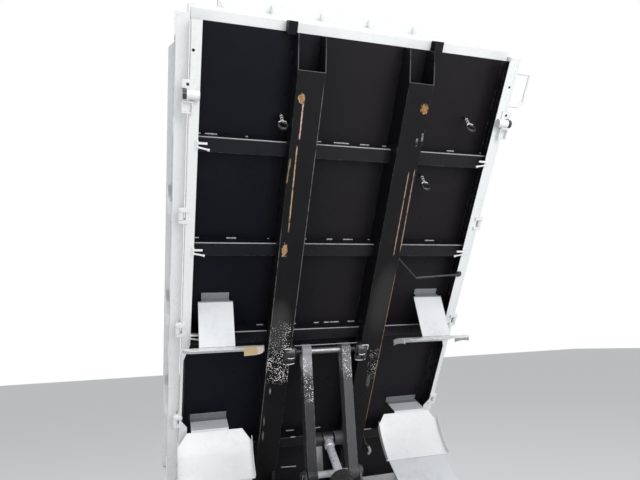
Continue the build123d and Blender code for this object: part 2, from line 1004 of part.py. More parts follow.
arm_top = (arm_top_x, arm_top_z)
arm_top_up = raised_point(*arm_top)
arm_foot_up = (arm_foot_x, arm_foot_z)
arm_length = hypot(arm_top_up[0] - arm_foot_x, arm_top_up[1] - arm_foot_z)
arm_foot_down = (
    arm_top_x - (arm_length ** 2 - (arm_top_z - arm_low_height) ** 2) ** 0.5,
    arm_low_height,
)
foot_middle = ((arm_foot_up[0] + arm_foot_down[0]) / 2, (arm_foot_up[1] + arm_foot_down[1]) / 2)
foot_way = (arm_foot_up[0] - arm_foot_down[0], arm_foot_up[1] - arm_foot_down[1])
link_pivot_x = foot_middle[0] + (foot_middle[1] - link_pivot_z) * foot_way[1] / foot_way[0]
link_pivot = (link_pivot_x, link_pivot_z)
link_length = hypot(arm_foot_up[0] - link_pivot[0], arm_foot_up[1] - link_pivot[1])
cylinder_base = (cylinder_base_x, cylinder_base_z)


def crosshead_at(top, foot):
    """The crosshead's middle on a lift arm that runs from its top to its foot."""
    way = ((foot[0] - top[0]) / arm_length, (foot[1] - top[1]) / arm_length)
    back = (way[1], -way[0])
    return (
        top[0] + crosshead_along * way[0] + crosshead_back * back[0],
        top[1] + crosshead_along * way[1] + crosshead_back * back[1],
    )


crosshead_up = crosshead_at(arm_top_up, arm_foot_up)
cylinder_reach = hypot(crosshead_up[0] - cylinder_base[0], crosshead_up[1] - cylinder_base[1])


def angle_of(start, end):
    """Direction from one point to another, in degrees from forward, upwards positive."""
    return degrees(atan2(end[1] - start[1], end[0] - start[0]))


def laid(shape, start, away):
    """A piece drawn along +X from the origin, turned and moved to its place."""
    return Pos(start[0], 0, start[1]) * (Rot(0, -away, 0) * shape)


def lengthwise_round(radius, start, end):
    """A round piece along X from one place to another."""
    return Pos((start + end) / 2, 0, 0) * Rot(0, 90, 0) * Cylinder(radius, end - start)


def gusset_outline():
    """The curved plate that joins a lift arm to its half of the crosshead."""
    face_edge = gusset_bury - arm_depth / 2
    low = -crosshead_back
    points = [
        (crosshead_along - gusset_rise, face_edge),
        (crosshead_along - crosshead_radius, low),
        (crosshead_along + crosshead_radius, low),
        (crosshead_along + gusset_fall, face_edge),
    ]
    bend_up = (crosshead_along - crosshead_radius - gusset_rise / 4, low / 2 + face_edge / 2 + gusset_bury)
    bend_down = (crosshead_along + crosshead_radius + gusset_fall / 6, low / 2 + face_edge / 2 + gusset_bury)
    edges = [
        ThreePointArc(points[0], bend_up, points[1]),
        Line(points[1], points[2]),
        ThreePointArc(points[2], bend_down, points[3]),
        Line(points[3], points[0]),
    ]
    return make_face(edges)


def lift_arms():
    """Two box arms from the hoist shaft down to the foot shaft, with the split crosshead."""
    half = arm_depth / 2
    arm = block(arm_wall, arm_length - arm_wall, arm_inner, arm_outer, -half, half)
    arm -= block(
        arm_eye_radius + arm_wall, arm_length - arm_eye_radius - arm_wall,
        arm_inner + arm_wall, arm_outer - arm_wall,
        arm_wall - half, half - arm_wall,
    )
    arm += drum(0, 0, arm_eye_radius, arm_inner, arm_outer)
    arm += drum(arm_length, 0, arm_eye_radius, arm_inner, arm_outer)
    arm += face_across(gusset_outline(), arm_inner, arm_inner + gusset_thickness)
    arm += drum(
        crosshead_along, -crosshead_back, crosshead_radius, crosshead_gap, arm_inner + gusset_thickness
    )
    arm -= drum(0, 0, shaft_radius + pin_play, arm_inner - overcut, arm_outer + overcut)
    foot_end = arm_outer + foot_shaft_end
    foot_shaft = drum(arm_length, 0, shaft_radius, -foot_end, foot_end)
    return laid(arm + mirrored(arm) + foot_shaft, arm_top_up, angle_of(arm_top_up, arm_foot_up))


def link_outline():
    """The tension link's plate, waisted between its two round ends."""
    half, waist = link_depth / 2, link_waist / 2
    edges = [
        ThreePointArc((0, -half), (link_length / 2, -waist), (link_length, -half)),
        Line((link_length, -half), (link_length, half)),
        ThreePointArc((link_length, half), (link_length / 2, waist), (0, half)),
        Line((0, half), (0, -half)),
    ]
    return make_face(edges)


def tension_link():
    """One plate outside an arm, from the subframe up to the arms' foot."""
    inner = arm_outer + link_gap
    outer = inner + link_plate
    plate = face_across(link_outline(), inner, outer)
    plate += drum(0, 0, link_depth / 2, inner, outer)
    plate += drum(link_length, 0, link_depth / 2, inner, outer)
    plate += drum(link_length, 0, link_collar_radius, outer, outer + link_collar_length)
    plate -= drum(0, 0, shaft_radius + pin_play, inner - overcut, outer + overcut)
    return laid(plate, link_pivot, angle_of(link_pivot, arm_foot_up))


def link_bracket():
    """The ears and the shaft that the tension link turns on."""
    inner = arm_outer + link_gap + link_plate + bracket_gap
    outer = inner + bracket_plate
    ear = round_ear(
        link_pivot_x, link_pivot_z, bracket_radius, low_member_top, bracket_half_base, inner, outer
    )
    end = outer + bracket_shaft_end
    return ear + mirrored(ear) + drum(link_pivot_x, link_pivot_z, shaft_radius, -end, end)


def cylinder_bracket():
    """The clevis and the pin at the cylinder's base."""
    inner = barrel_eye_half + clevis_gap
    outer = inner + clevis_plate
    x, z = cylinder_base
    ear = round_ear(x, z, clevis_radius, low_member_top, bracket_half_base, inner, outer)
    end = outer + bracket_shaft_end
    return ear + mirrored(ear) + drum(x, z, shaft_radius, -end, end)


def cylinder_barrel():
    """The cylinder's tube with its base eye, gland nut and oil port."""
    tube = lengthwise_round(barrel_radius, barrel_start, barrel_end)
    tube -= lengthwise_round(barrel_radius - barrel_wall, barrel_start + barrel_wall, barrel_end + overcut)
    gland = lengthwise_round(barrel_radius + gland_rise, barrel_end - gland_back, barrel_end + gland_front)
    gland -= lengthwise_round(
        rod_radius + pin_play, barrel_end - gland_back - overcut, barrel_end + gland_front + overcut
    )
    eye = drum(0, 0, barrel_eye_radius, -barrel_eye_half, barrel_eye_half)
    eye += block(
        0, barrel_start + barrel_wall / 2, -barrel_neck_half_width, barrel_neck_half_width,
        -barrel_neck_half_height, barrel_neck_half_height,
    )
    eye_cut = barrel_eye_half + overcut
    eye -= drum(0, 0, shaft_radius + pin_play, -eye_cut, eye_cut)
    port = Pos(barrel_start + port_place, 0, -barrel_radius - port_reach / 2 + barrel_wall / 2)
    port = port * Cylinder(port_radius, port_reach + barrel_wall / 2)
    return laid(tube + gland + eye + port, cylinder_base, angle_of(cylinder_base, crosshead_up))


def cylinder_rod():
    """The chromed rod with its eye and the short pin held in it."""
    shoulder = cylinder_reach - rod_eye_radius + rod_radius / 2
    rod = lengthwise_round(rod_radius, rod_inside, shoulder)
    piston = lengthwise_round(barrel_radius - barrel_wall - piston_play, rod_inside, rod_inside + piston_length)
    neck = lengthwise_round(rod_radius + rod_neck_rise, shoulder - rod_neck_length, shoulder)
    eye = drum(cylinder_reach, 0, rod_eye_radius, -rod_eye_half, rod_eye_half)
    pin = drum(cylinder_reach, 0, rod_pin_radius, -rod_eye_half - rod_pin_end, rod_eye_half + rod_pin_end)
    return laid(rod + piston + neck + eye + pin, cylinder_base, angle_of(cylinder_base, crosshead_up))


def hoist_shaft():
    """The shaft across the sills that the lift arms hang from, with its collars and end plates."""
    shaft = drum(arm_top_x, arm_top_z, shaft_radius, -sill_inner, sill_inner)
    for sign in (1, -1):
        shaft += drum(
            arm_top_x, arm_top_z, shaft_collar_radius, sign * (sill_inner - shaft_collar_length),
            sign * sill_inner,
        )
        shaft += block(
            arm_top_x - shaft_plate_half, arm_top_x + shaft_plate_half,
            sign * (sill_inner - shaft_plate), sign * sill_inner,
            arm_top_z - shaft_plate_below, arm_top_z + shaft_plate_above,
        )
    return shaft


# Mudguards


def guard_angle(height):
    """The angle about the wheel's middle of the mudguards' arc at a height, ahead of the wheel."""
    return degrees(asin((height - wheel_z) / guard_radius))


def arc_point(angle, radius):
    """A point on a circle about the wheel's middle."""
    turn = radians(angle)
    return wheel_x + radius * cos(turn), wheel_z + radius * sin(turn)


def ring_part(start, end, outer, inner):
    """The outline between two circles about the wheel's middle and two angles."""
    middle = (start + end) / 2
    edges = [
        ThreePointArc(arc_point(start, outer), arc_point(middle, outer), arc_point(end, outer)),
        Line(arc_point(end, outer), arc_point(end, inner)),
        ThreePointArc(arc_point(end, inner), arc_point(middle, inner), arc_point(start, inner)),
        Line(arc_point(start, inner), arc_point(start, outer)),
    ]
    return make_face(edges)


def mudguard(start, end):
    """A curved mudguard sheet with turned-down edges, between two angles about the wheel."""
    sheet = face_across(
        ring_part(start, end, guard_radius, guard_radius - guard_sheet), mudguard_inner, mudguard_outer
    )
    edge = ring_part(start, end, guard_radius, guard_radius - guard_lip)
    for y in (mudguard_inner, mudguard_outer - guard_sheet):
        sheet += face_across(edge, y, y + guard_sheet)
    return sheet


def front_mudguard():
    """The mudguard ahead of the wheel, its plan corners rounded."""
    start, end = guard_angle(front_guard_bottom), guard_angle(front_guard_top)
    middle = radians((start + end) / 2)
    x, z = arc_point((start + end) / 2, guard_radius)
    centre = (x, (mudguard_inner + mudguard_outer) / 2, z)
    seat = Plane(origin=centre, x_dir=(0, 1, 0), z_dir=(cos(middle), 0, sin(middle)))
    chord = 2 * guard_radius * sin(radians(end - start) / 2)
    width = mudguard_outer - mudguard_inner
    plan = RectangleRounded(width + 2 * overcut, chord + 2 * overcut, plan_corner_radius)
    return mudguard(start, end) & extrude(seat * plan, amount=guard_radius / 2, both=True)


def rear_mudguard():
    """The mudguard behind the wheel, its two top corners cut off."""
    start, end = 180 - guard_angle(rear_guard_top), 180 - guard_angle(rear_guard_bottom)
    shape = mudguard(start, end)
    x, z = arc_point(start, guard_radius)
    for edge, inward in ((mudguard_inner, 1), (mudguard_outer, -1)):
        corner = [
            (edge - inward, z + corner_cut / 6),
            (edge + inward * corner_cut * 7 / 6, z + corner_cut / 6),
            (edge - inward, z - corner_cut),
        ]
        shape -= along(corner, x - 2 * corner_cut, x + 2 * corner_cut)
    return shape


def front_stay():
    """The flanged plate that slopes from the floor down to the front mudguard."""
    foot = arc_point(guard_angle(front_stay_foot), guard_radius + stay_gap)
    front = wheel_x + front_stay_ahead
    outline = folded(
        [
            foot,
            (front, floor_underside - front_stay_drop),
            (front, floor_underside - stay_wall),
            (front + stay_flange, floor_underside - stay_wall),
        ],
        stay_wall,
    )
    outer = mudguard_outer - front_stay_inset
    inner = outer - front_stay_width
    stay = across(outline, inner, outer)
    low, high = floor_underside - front_stay_drop, floor_underside + overcut
    for y0, y1 in ((inner - overcut, inner + front_stay_notch), (outer - front_stay_notch, outer + overcut)):
        stay -= block(front - stay_wall, front + stay_flange + overcut, y0, y1, low, high)
    return stay


def rear_stay():
    """The upright plate from the floor down to the rear mudguard."""
    foot = arc_point(180 - guard_angle(rear_stay_foot), guard_radius + stay_gap)
    bend = arc_point(180 - guard_angle(rear_guard_top + stay_bend_over), guard_radius + stay_gap)
    head = wheel_x - rear_stay_behind
    outline = folded(
        [
            foot,
            bend,
            (head, floor_underside - stay_wall),
            (head + stay_flange, floor_underside - stay_wall),
        ],
        stay_wall,
    )
    outer = mudguard_outer - rear_stay_inset
    return across(outline, outer - rear_stay_width, outer)


def mud_flap():
    """The rubber flap that hangs from the rear mudguard."""
    x, z = arc_point(180 - guard_angle(rear_guard_bottom), guard_radius)
    face = x - flap_gap
    return across(
        [
            (face, z + flap_overlap),
            (face - flap_thickness, z + flap_overlap),
            (face - flap_thickness - flap_sweep, z - flap_length),
            (face - flap_sweep, z - flap_length),
        ],
        mudguard_inner + flap_inset,
        mudguard_outer - flap_outer_inset,
    )


# Small pieces on the bed


def rope_hook(setback):
    """A rope hook under the side rail, a plate with one thick and one thin prong."""
    place = bed_front - setback
    y, z = rail_inner, rail_bottom - hook_prong_radius - overcut
    plate = block(
        place - hook_plate_half, place + hook_plate_half, y - hook_plate_edge, y + hook_plate_overlap,
        rail_bottom - hook_plate_thickness, rail_bottom,
    )
    thick_root = (place + hook_spread, y + hook_prong_radius, z)
    thin_root = (place - hook_spread, y + hook_prong_radius, z)
    thick_end = (place + hook_spread, y - hook_prong_reach, z)
    thin_end = (place - 2 * hook_spread, y - hook_prong_reach, z)
    knob_end = (place - 2 * hook_spread - hook_knob_length / 3, thin_end[1] - hook_knob_length, z)
    hook = plate + bar(thick_root, thick_end, hook_prong_radius) + bar(thin_root, thin_end, hook_thin_radius)
    return hook + bar(thin_end, knob_end, hook_knob_radius)


def hanging_hook(place):
    """A stud under the floor with a leaning rod and a ring at its end."""
    x, y = place
    lean = radians(shackle_lean_deg)
    way = Vector(-sin(lean), 0, -cos(lean))
    lug = Vector(x, y, floor_underside - shackle_drop)
    stud = Pos(x, y, floor_underside - shackle_drop / 2) * Cylinder(shackle_lug_radius, shackle_drop)
    rod = bar(lug - way * shackle_bar, lug + way * shackle_rod, shackle_bar)
    seat = Plane(
        origin=lug + way * (shackle_rod + shackle_radius), x_dir=(0, 1, 0), z_dir=(cos(lean), 0, -sin(lean))
    )
    return stud + rod + seat * bar_ring(shackle_radius, shackle_bar)


def cross_tie():
    """The bent bar between the left sill and a foot under the left side rail."""
    z = rail_bottom - tie_foot_thickness - tie_radius / 2
    tie_end = rail_inner + tie_foot_width
    points = [
        (tie_front, sill_outer, z),
        (tie_bend_x, sill_outer + tie_bend_out, z),
        (tie_end_x, tie_end, z),
    ]
    tie = bar(points[0], points[1], tie_radius) + bar(points[1], points[2], tie_radius)
    tie += ball(points[1], tie_radius)
    tie += block(
        tie_end_x - tie_foot_length / 2, tie_end_x + tie_foot_length / 2,
        rail_inner, tie_end, rail_bottom - tie_foot_thickness - tie_radius / 2, rail_bottom,
    )
    return tie - sill() - side_rail()


def gate_keeper():
    """The drilled plate, barrel catch and slotted box under a side rail near its front end."""
    front = bed_front - keeper_front
    inner, outer = bed_half_width - keeper_inner, bed_half_width + keeper_outer
    low = rail_bottom - keeper_thickness
    plate = block(front - keeper_plate_length, front, inner, outer, low, rail_bottom)
    middle = Pos(front - keeper_plate_length / 2, (inner + outer) / 2, rail_bottom - keeper_thickness / 2)
    keeper = plate - middle * Cylinder(keeper_hole_radius, keeper_thickness + 2 * overcut)
    x, z = front - keeper_barrel_setback, rail_bottom - keeper_barrel_radius
    barrel_inner, barrel_outer = bed_half_width - keeper_barrel_inner, bed_half_width + keeper_barrel_outer
    keeper += drum(x, z, keeper_barrel_radius, barrel_inner, barrel_outer)
    box_front = front - keeper_box_front
    box_rear = box_front - keeper_box_length
    keeper += block(box_rear, box_front, inner, outer, rail_bottom - keeper_box_height, rail_bottom)
    keeper -= block(
        box_rear + keeper_thickness, box_front - keeper_thickness, inner + keeper_thickness,
        outer - keeper_thickness, rail_bottom - keeper_box_height - overcut, rail_bottom - keeper_thickness,
    )
    return keeper + block(box_rear, front, inner, bed_half_width, low, rail_bottom)


def gate_handle():
    """The bent rod on the outside of the left gate that it is lifted by."""
    front = bed_front - handle_setback
    rear = front - handle_length
    y, z = gate_face + handle_reach, gate_bottom + handle_rise
    bends = [(rear, y - handle_bevel, z), (rear + handle_bevel, y, z), (front, y, z)]
    path = [(rear, gate_face, z)] + bends + [(front, gate_face, z)]
    rod = bar(path[0], path[1], handle_radius)
    for start, end in zip(path[1:], path[2:]):
        rod += bar(start, end, handle_radius)
    for bend in bends:
        rod += ball(bend, handle_radius)
    return rod


# Build every sub-part

os.makedirs("parts", exist_ok=True)

save_bed("floor_plate", floor_plate())
for side in SIDES:
    save_bed(f"side_rail_{side}", on_side(side_rail(), side))
    save_bed(f"sill_{side}", on_side(sill(), side))
    save_bed(f"front_stop_{side}", on_side(front_stop(stop_gaps[side]), side))
    save_bed(f"rear_post_{side}", on_side(rear_post() + hanger(), side))
    save_bed(f"hinge_ear_{side}", on_side(hinge_ear(), side))
    save_bed(f"side_gate_{side}", on_side(gate(), side))
    save_bed(f"gate_hinge_lugs_{side}", *[on_side(piece, side) for piece in gate_hinge_lugs()])
    save_bed(f"front_mudguard_{side}", on_side(front_mudguard(), side))
    save_bed(f"rear_mudguard_{side}", on_side(rear_mudguard(), side))
    save_bed(f"front_mudguard_stay_{side}", on_side(front_stay(), side))
    save_bed(f"rear_mudguard_stay_{side}", on_side(rear_stay(), side))
    save_bed(f"mud_flap_{side}", on_side(mud_flap(), side))
    save_bed(f"gate_keeper_{side}", on_side(gate_keeper(), side))
    save(f"subframe_rail_{side}", on_side(subframe_rail(), side))
    save(f"rest_strip_{side}", on_side(rest_strip(), side))
save_bed("gate_handle_left", gate_handle())
save_bed("cross_bearers", *cross_bearers())
save_bed("tail_beam", tail_beam())
save_bed("headboard", headboard())
save_bed("guard_frame", guard_frame())
save_bed("hoist_shaft", hoist_shaft())
save_bed("cross_tie", cross_tie())
shackle_places = (
    (2583.0, -sill_outer - shackle_sill_gap),
    (2290.0, sill_outer + shackle_rear_gap),
    (2655.0, bed_half_width - shackle_edge_gap),
)
save_bed("hanging_hooks", *[hanging_hook(place) for place in shackle_places])
hooks = [rope_hook(setback) for setback in rope_hook_setbacks]
save_bed("rope_hooks", *hooks, *[mirrored(hook) for hook in hooks])
fittings = tailgate_arm() + tailgate_lower_pin()
save_bed("tailgate", tailgate() + fittings + mirrored(fittings))
save_bed("tailgate_catches", tailgate_catch(), mirrored(tailgate_catch()))
save("subframe_crossmembers", *crossmembers())
save("hinge_brackets", hinge_bracket(), mirrored(hinge_bracket()))
save("hinge_pins", hinge_pin(), mirrored(hinge_pin()))
save("shear_plates", *[on_side(shear_plate(place), side) for place in shear_plate_places for side in SIDES])
save("link_bracket", link_bracket())
save("cylinder_bracket", cylinder_bracket())
save("lift_arms", lift_arms())
save("tension_link", tension_link(), mirrored(tension_link()))
save("cylinder_barrel", cylinder_barrel())
save("cylinder_rod", cylinder_rod())
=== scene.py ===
"""Looks of a small dump truck's raised tipping bed, its hoist and its subframe.

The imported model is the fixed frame. Pieces of the bed are drawn as it lies on the subframe and are
then turned up about the tipping hinge, like the solids. All lengths are in metres.
"""

import logging
import math
from dataclasses import dataclass, field, replace
from enum import Enum
from typing import Any, Iterable, Optional, Sequence, Union

import bmesh
import bpy
from mathutils import Matrix, Vector


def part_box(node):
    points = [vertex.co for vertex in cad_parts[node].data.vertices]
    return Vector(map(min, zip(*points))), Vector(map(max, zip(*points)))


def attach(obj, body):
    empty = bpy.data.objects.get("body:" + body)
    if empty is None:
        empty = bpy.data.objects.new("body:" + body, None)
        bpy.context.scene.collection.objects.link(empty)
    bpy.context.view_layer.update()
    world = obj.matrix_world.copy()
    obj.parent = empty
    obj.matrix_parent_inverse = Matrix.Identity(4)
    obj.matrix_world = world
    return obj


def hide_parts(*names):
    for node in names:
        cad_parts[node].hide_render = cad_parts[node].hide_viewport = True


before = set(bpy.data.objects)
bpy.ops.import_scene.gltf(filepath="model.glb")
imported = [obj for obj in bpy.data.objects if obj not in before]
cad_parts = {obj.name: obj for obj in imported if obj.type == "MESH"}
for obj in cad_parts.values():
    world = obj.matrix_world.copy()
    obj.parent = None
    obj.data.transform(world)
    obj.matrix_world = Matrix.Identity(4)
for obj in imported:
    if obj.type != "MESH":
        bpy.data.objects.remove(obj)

LOG = logging.getLogger("tipping_bed")
Point = tuple[float, float, float]
Colour = tuple[float, float, float]
Span = tuple[float, float]
Socket = bpy.types.NodeSocket
Value = Union[float, Socket]
Outline = tuple[Span, ...]

TILT = math.radians(55.0)
HINGE_HEIGHT = 0.095
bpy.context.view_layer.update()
SIDES: dict[str, int] = {"left": 1, "right": -1}
MERGE_DISTANCE = 1e-5
NO_LENGTH = 1e-6
HEXAGON = 6


class Body(Enum):
    """The moving bodies that the added pieces ride on."""

    SUBFRAME = "subframe"
    BED = "bed"
    ARMS = "lift_arms"


class Slot(Enum):
    """The record's material slots."""

    WHITE = "white_paint"
    BLACK = "black_paint"
    STEEL = "steel"
    STRIP = "hardwood"


def bed_matrix() -> Matrix:
    """Return the turn from the lowered bed to its raised place."""
    hinge = Matrix.Translation((0, 0, HINGE_HEIGHT))
    return hinge @ Matrix.Rotation(-TILT, 4, "Y") @ hinge.inverted()


BED_UP = bed_matrix()
LEVEL = Matrix.Identity(4)
UPRIGHT: Point = (0.0, 0.0, 1.0)


# Node graphs


@dataclass(frozen=True)
class Noise:
    """The settings of one noise pattern."""

    scale: float
    detail: float = 4.0
    roughness: float = 0.55


class Graph:
    """A node tree with short calls for adding and joining nodes."""

    def __init__(self, tree: bpy.types.NodeTree) -> None:
        """Keep the tree to build in."""
        self.tree = tree

    def add(self, kind: str, inputs: Optional[dict[Union[int, str], Any]] = None,
            **settings: Any) -> bpy.types.Node:
        """Add one node.

        Args:
            kind: The node's Blender type.
            inputs: Values or source sockets by input name or number.
            settings: Properties to set on the node.

        Returns:
            The new node.
        """
        node = self.tree.nodes.new(kind)
        for name, value in settings.items():
            setattr(node, name, value)
        for key, value in (inputs or {}).items():
            socket = node.inputs[key]
            if isinstance(value, Socket):
                self.tree.links.new(value, socket)
            else:
                socket.default_value = value
        return node

    def link(self, source: Socket, target: Socket) -> None:
        """Join two sockets."""
        self.tree.links.new(source, target)

    def math(self, operation: str, first: Value, second: Value = 0.5) -> Socket:
        """Return the result of a Math node on two values or sockets."""
        return self.add("ShaderNodeMath", {0: first, 1: second}, operation=operation).outputs[0]

    def times(self, first: Value, second: Value) -> Socket:
        """Return the product of two values or sockets."""
        return self.math("MULTIPLY", first, second)

    def noise(self, coordinate: Socket, kind: Noise) -> Socket:
        """Return a noise pattern's value on a coordinate."""
        settings = {"Scale": kind.scale, "Detail": kind.detail, "Roughness": kind.roughness}
        return self.add("ShaderNodeTexNoise", {"Vector": coordinate, **settings}).outputs["Fac"]

    def ramp(self, value: Socket, span: Span, out: Span = (0.0, 1.0)) -> Socket:
        """Return a value moved smoothly from one range to another."""
        inputs = {0: value, 1: span[0], 2: span[1], 3: out[0], 4: out[1]}
        return self.add("ShaderNodeMapRange", inputs, interpolation_type="SMOOTHSTEP").outputs[0]

    def mix(self, share: Value, first: Union[Colour, Socket], second: Union[Colour, Socket]) -> Socket:
        """Blend two colours.

        Args:
            share: How much of the second colour shows.
            first: A colour or its socket.
            second: Another colour or its socket.

        Returns:
            The blend's socket.
        """
        node = self.add("ShaderNodeMix", {0: share}, data_type="RGBA")
        for index, value in ((6, first), (7, second)):
            if isinstance(value, Socket):
                self.link(value, node.inputs[index])
            else:
                node.inputs[index].default_value = (*value, 1.0)
        return node.outputs[2]

    def stretched(self, coordinate: Socket, scale: Point, turn: float) -> Socket:
        """Return a coordinate turned about Y and scaled along its axes."""
        inputs = {"Vector": coordinate, "Scale": scale, "Rotation": (0.0, turn, 0.0)}
        return self.add("ShaderNodeMapping", inputs).outputs[0]


# Zones and marks on the paint


class Axis(Enum):
    """Lengths that a painted zone may be limited by."""

    X = "x"
    Z = "z"
    BED_X = "bed x"
    BED_Z = "bed z"
    ACROSS = "across the bed, with its sign"
    OUT = "distance from the middle"


Axes = dict[Axis, Socket]


@dataclass(frozen=True)
class Zone:
    """A region in another colour, between limits along some axes."""

    colour: Colour
    limits: tuple[tuple[Axis, float, float], ...]

    def share(self, graph: Graph, axes: Axes) -> Socket:
        """Find what lies in the zone.

        Args:
            graph: The material's graph.
            axes: The lengths at each place.

        Returns:
            1 inside the zone and 0 outside it.
        """
        inside = None
        for axis, low, high in self.limits:
            above = graph.math("GREATER_THAN", axes[axis], low)
            between = graph.times(above, graph.math("LESS_THAN", axes[axis], high))
            inside = between if inside is None else graph.times(inside, between)
        return inside


@dataclass(frozen=True)
class Fade:
    """A colour that the paint passes into across the bed."""

    colour: Colour
    start: float
    end: float


class Look(Enum):
    """How a mark lies on the paint."""

    LINE = "a thin broken line"
    PATCH = "a ragged patch"
    SPECKLE = "fine dots"
    HAZE = "a soft haze"


@dataclass(frozen=True)
class Reach:
    """Where a place on the surface lies from a mark's middle line."""

    graph: Graph
    place: Socket
    beside: Socket
    ahead: Socket


RAGGED = Noise(60.0, 5.0, 0.7)
LINE_NOISE = Noise(24.0, 3.0)
SPECKLE_NOISE = Noise(16.0, 3.0)
PATCH_NOISE = Noise(150.0, 3.0)
SPECKLE_SCALE = 112.0
SPECKLE_SIZES: Span = (0.12, 0.36)
PATCH_RAGGEDNESS = 3.6
PATCH_COVER: Span = (0.35, 1.0)
HEIGHT_BLEND = 0.004

# A rim is in shares of a mark's width, an end in shares of its half length, and a gap in its noise.
LINE_RIM: Span = (0.5, 0.3)
LINE_ENDS: Span = (1.0, 0.9)
LINE_GAPS: Span = (0.3, 0.5)
SPECKLE_RIM: Span = (0.5, 0.42)
SPECKLE_ENDS: Span = (1.0, 0.72)
SPECKLE_GAPS: Span = (0.3, 0.62)
PATCH_RIM: Span = (1.0, 0.6)
PATCH_GAPS: Span = (0.36, 0.56)
HAZE_RIM: Span = (1.0, 0.0)


@dataclass(frozen=True)
class Mark:
    """A mark on the bed, in the lowered bed's own lengths. Most are worn, rusty or greasy places; some hazes
    and thin lines are painted sheen and painted highlights.
    """

    look: Look
    start: Span
    end: Span
    width: float
    colour: Colour
    strength: float = 1.0
    heights: Optional[Span] = None

    def share(self, graph: Graph, place: Socket, axes: Axes) -> Socket:
        """Find how strongly the mark lies at each place.

        Args:
            graph: The material's graph.
            place: Object coordinates, for the mark's ragged edge.
            axes: The lengths along and across the bed.

        Returns:
            A share from 0 to the mark's strength.
        """
        along = axes[Axis.BED_X]
        (x0, y0), (x1, y1) = self.start, self.end
        slope = (y1 - y0) / (x1 - x0)
        line = graph.math("ADD", graph.times(along, slope), y0 - slope * x0)
        beside = graph.math("ABSOLUTE", graph.math("SUBTRACT", axes[Axis.ACROSS], line))
        offset = graph.math("ABSOLUTE", graph.math("SUBTRACT", along, (x0 + x1) / 2))
        reach = Reach(graph, place, beside, graph.math("DIVIDE", offset, abs(x1 - x0) / 2))
        draw = {Look.LINE: self._line, Look.SPECKLE: self._speckle,
                Look.PATCH: self._patch, Look.HAZE: self._haze}
        share = draw[self.look](reach)
        if self.heights:
            low, high = self.heights
            share = graph.times(share, graph.ramp(axes[Axis.BED_Z], (low - HEIGHT_BLEND, low)))
            share = graph.times(share, graph.ramp(axes[Axis.BED_Z], (high + HEIGHT_BLEND, high)))
        return graph.times(share, self.strength)

    def _line(self, reach: Reach) -> Socket:
        """Draw a thin line with a rough edge and gaps.

        Args:
            reach: Where the place lies from the mark.

        Returns:
            A share from 0 to 1.
        """
        graph = reach.graph
        rough = graph.math("SUBTRACT", graph.noise(reach.place, RAGGED), 0.5)
        beside = graph.math("ADD", reach.beside, graph.times(rough, self.width))
        share = graph.times(graph.ramp(beside, self._wide(LINE_RIM)), graph.ramp(reach.ahead, LINE_ENDS))
        return graph.times(share, graph.ramp(graph.noise(reach.place, LINE_NOISE), LINE_GAPS))

    def _speckle(self, reach: Reach) -> Socket:
        """Draw fine dots that thin out towards the mark's ends.

        Args:
            reach: Where the place lies from the mark.

        Returns:
            A share of 0 or 1.
        """
        graph = reach.graph
        share = graph.times(graph.ramp(reach.beside, self._wide(SPECKLE_RIM)),
                            graph.ramp(reach.ahead, SPECKLE_ENDS))
        cells = graph.add("ShaderNodeTexVoronoi", {"Vector": reach.place, "Scale": SPECKLE_SCALE})
        sizes = graph.ramp(graph.noise(reach.place, SPECKLE_NOISE), SPECKLE_GAPS, SPECKLE_SIZES)
        return graph.math("LESS_THAN", cells.outputs["Distance"], graph.times(share, sizes))

    def _patch(self, reach: Reach) -> Socket:
        """Draw a ragged oval that is worn through in places.

        Args:
            reach: Where the place lies from the mark.

        Returns:
            A share from 0 to 1.
        """
        graph = reach.graph
        rough = graph.math("SUBTRACT", graph.noise(reach.place, RAGGED), 0.5)
        rim = graph.math("ADD", self._squared(reach), graph.times(rough, PATCH_RAGGEDNESS))
        worn = graph.ramp(graph.noise(reach.place, PATCH_NOISE), PATCH_GAPS, PATCH_COVER)
        return graph.times(graph.ramp(rim, PATCH_RIM), worn)

    def _haze(self, reach: Reach) -> Socket:
        """Return a soft oval's share, from 0 to 1."""
        return reach.graph.ramp(self._squared(reach), HAZE_RIM)

    def _wide(self, shares: Span) -> Span:
        """Return two shares of the mark's width as lengths."""
        return self.width * shares[0], self.width * shares[1]

    def _squared(self, reach: Reach) -> Socket:
        """Measure how far a place lies from the oval's middle.

        Args:
            reach: Where the place lies from the mark.

        Returns:
            The squared distance, with 1 at the oval's rim.
        """
        graph = reach.graph
        side = graph.math("DIVIDE", reach.beside, self.width / 2)
        return graph.math("ADD", graph.times(reach.ahead, reach.ahead), graph.times(side, side))


# Finishes


GRAIN = Noise(14.0, 8.0, 0.65)
RIPPLE = Noise(260.0, 3.0)
WAVES = Noise(5.0, 2.0)
FINE = Noise(34.0, 6.0, 0.7)
RUNS = Noise(1.0, 5.0, 0.6)
DUST_DETAIL: Span = (8.0, 0.62)
RUN_STRETCH: Point = (3.0, 46.0, 3.0)
GRAIN_RANGE: Span = (0.3, 0.7)
DUST_RANGE: Span = (0.42, 0.72)
DUST_GAPS: Span = (0.3, 0.75)
RUN_GAPS: Span = (0.56, 0.74)
EDGE_MATCH: Span = (0.999, 0.93)
EDGE_GAPS: Span = (0.45, 0.62)
WAVE_SHARE = 3.0
BUMP_DEPTH = 0.001
PEEL_STRENGTH = 4
SMOOTHER, ROUGHER = 0.1, 0.16
GLOSSIEST = 0.05
COAT_ROUGHNESS = 0.12
ROUNDED_EDGE = 0.0035
EDGE_WEAR_AND_HIGHLIGHT_RADIUS = 0.006


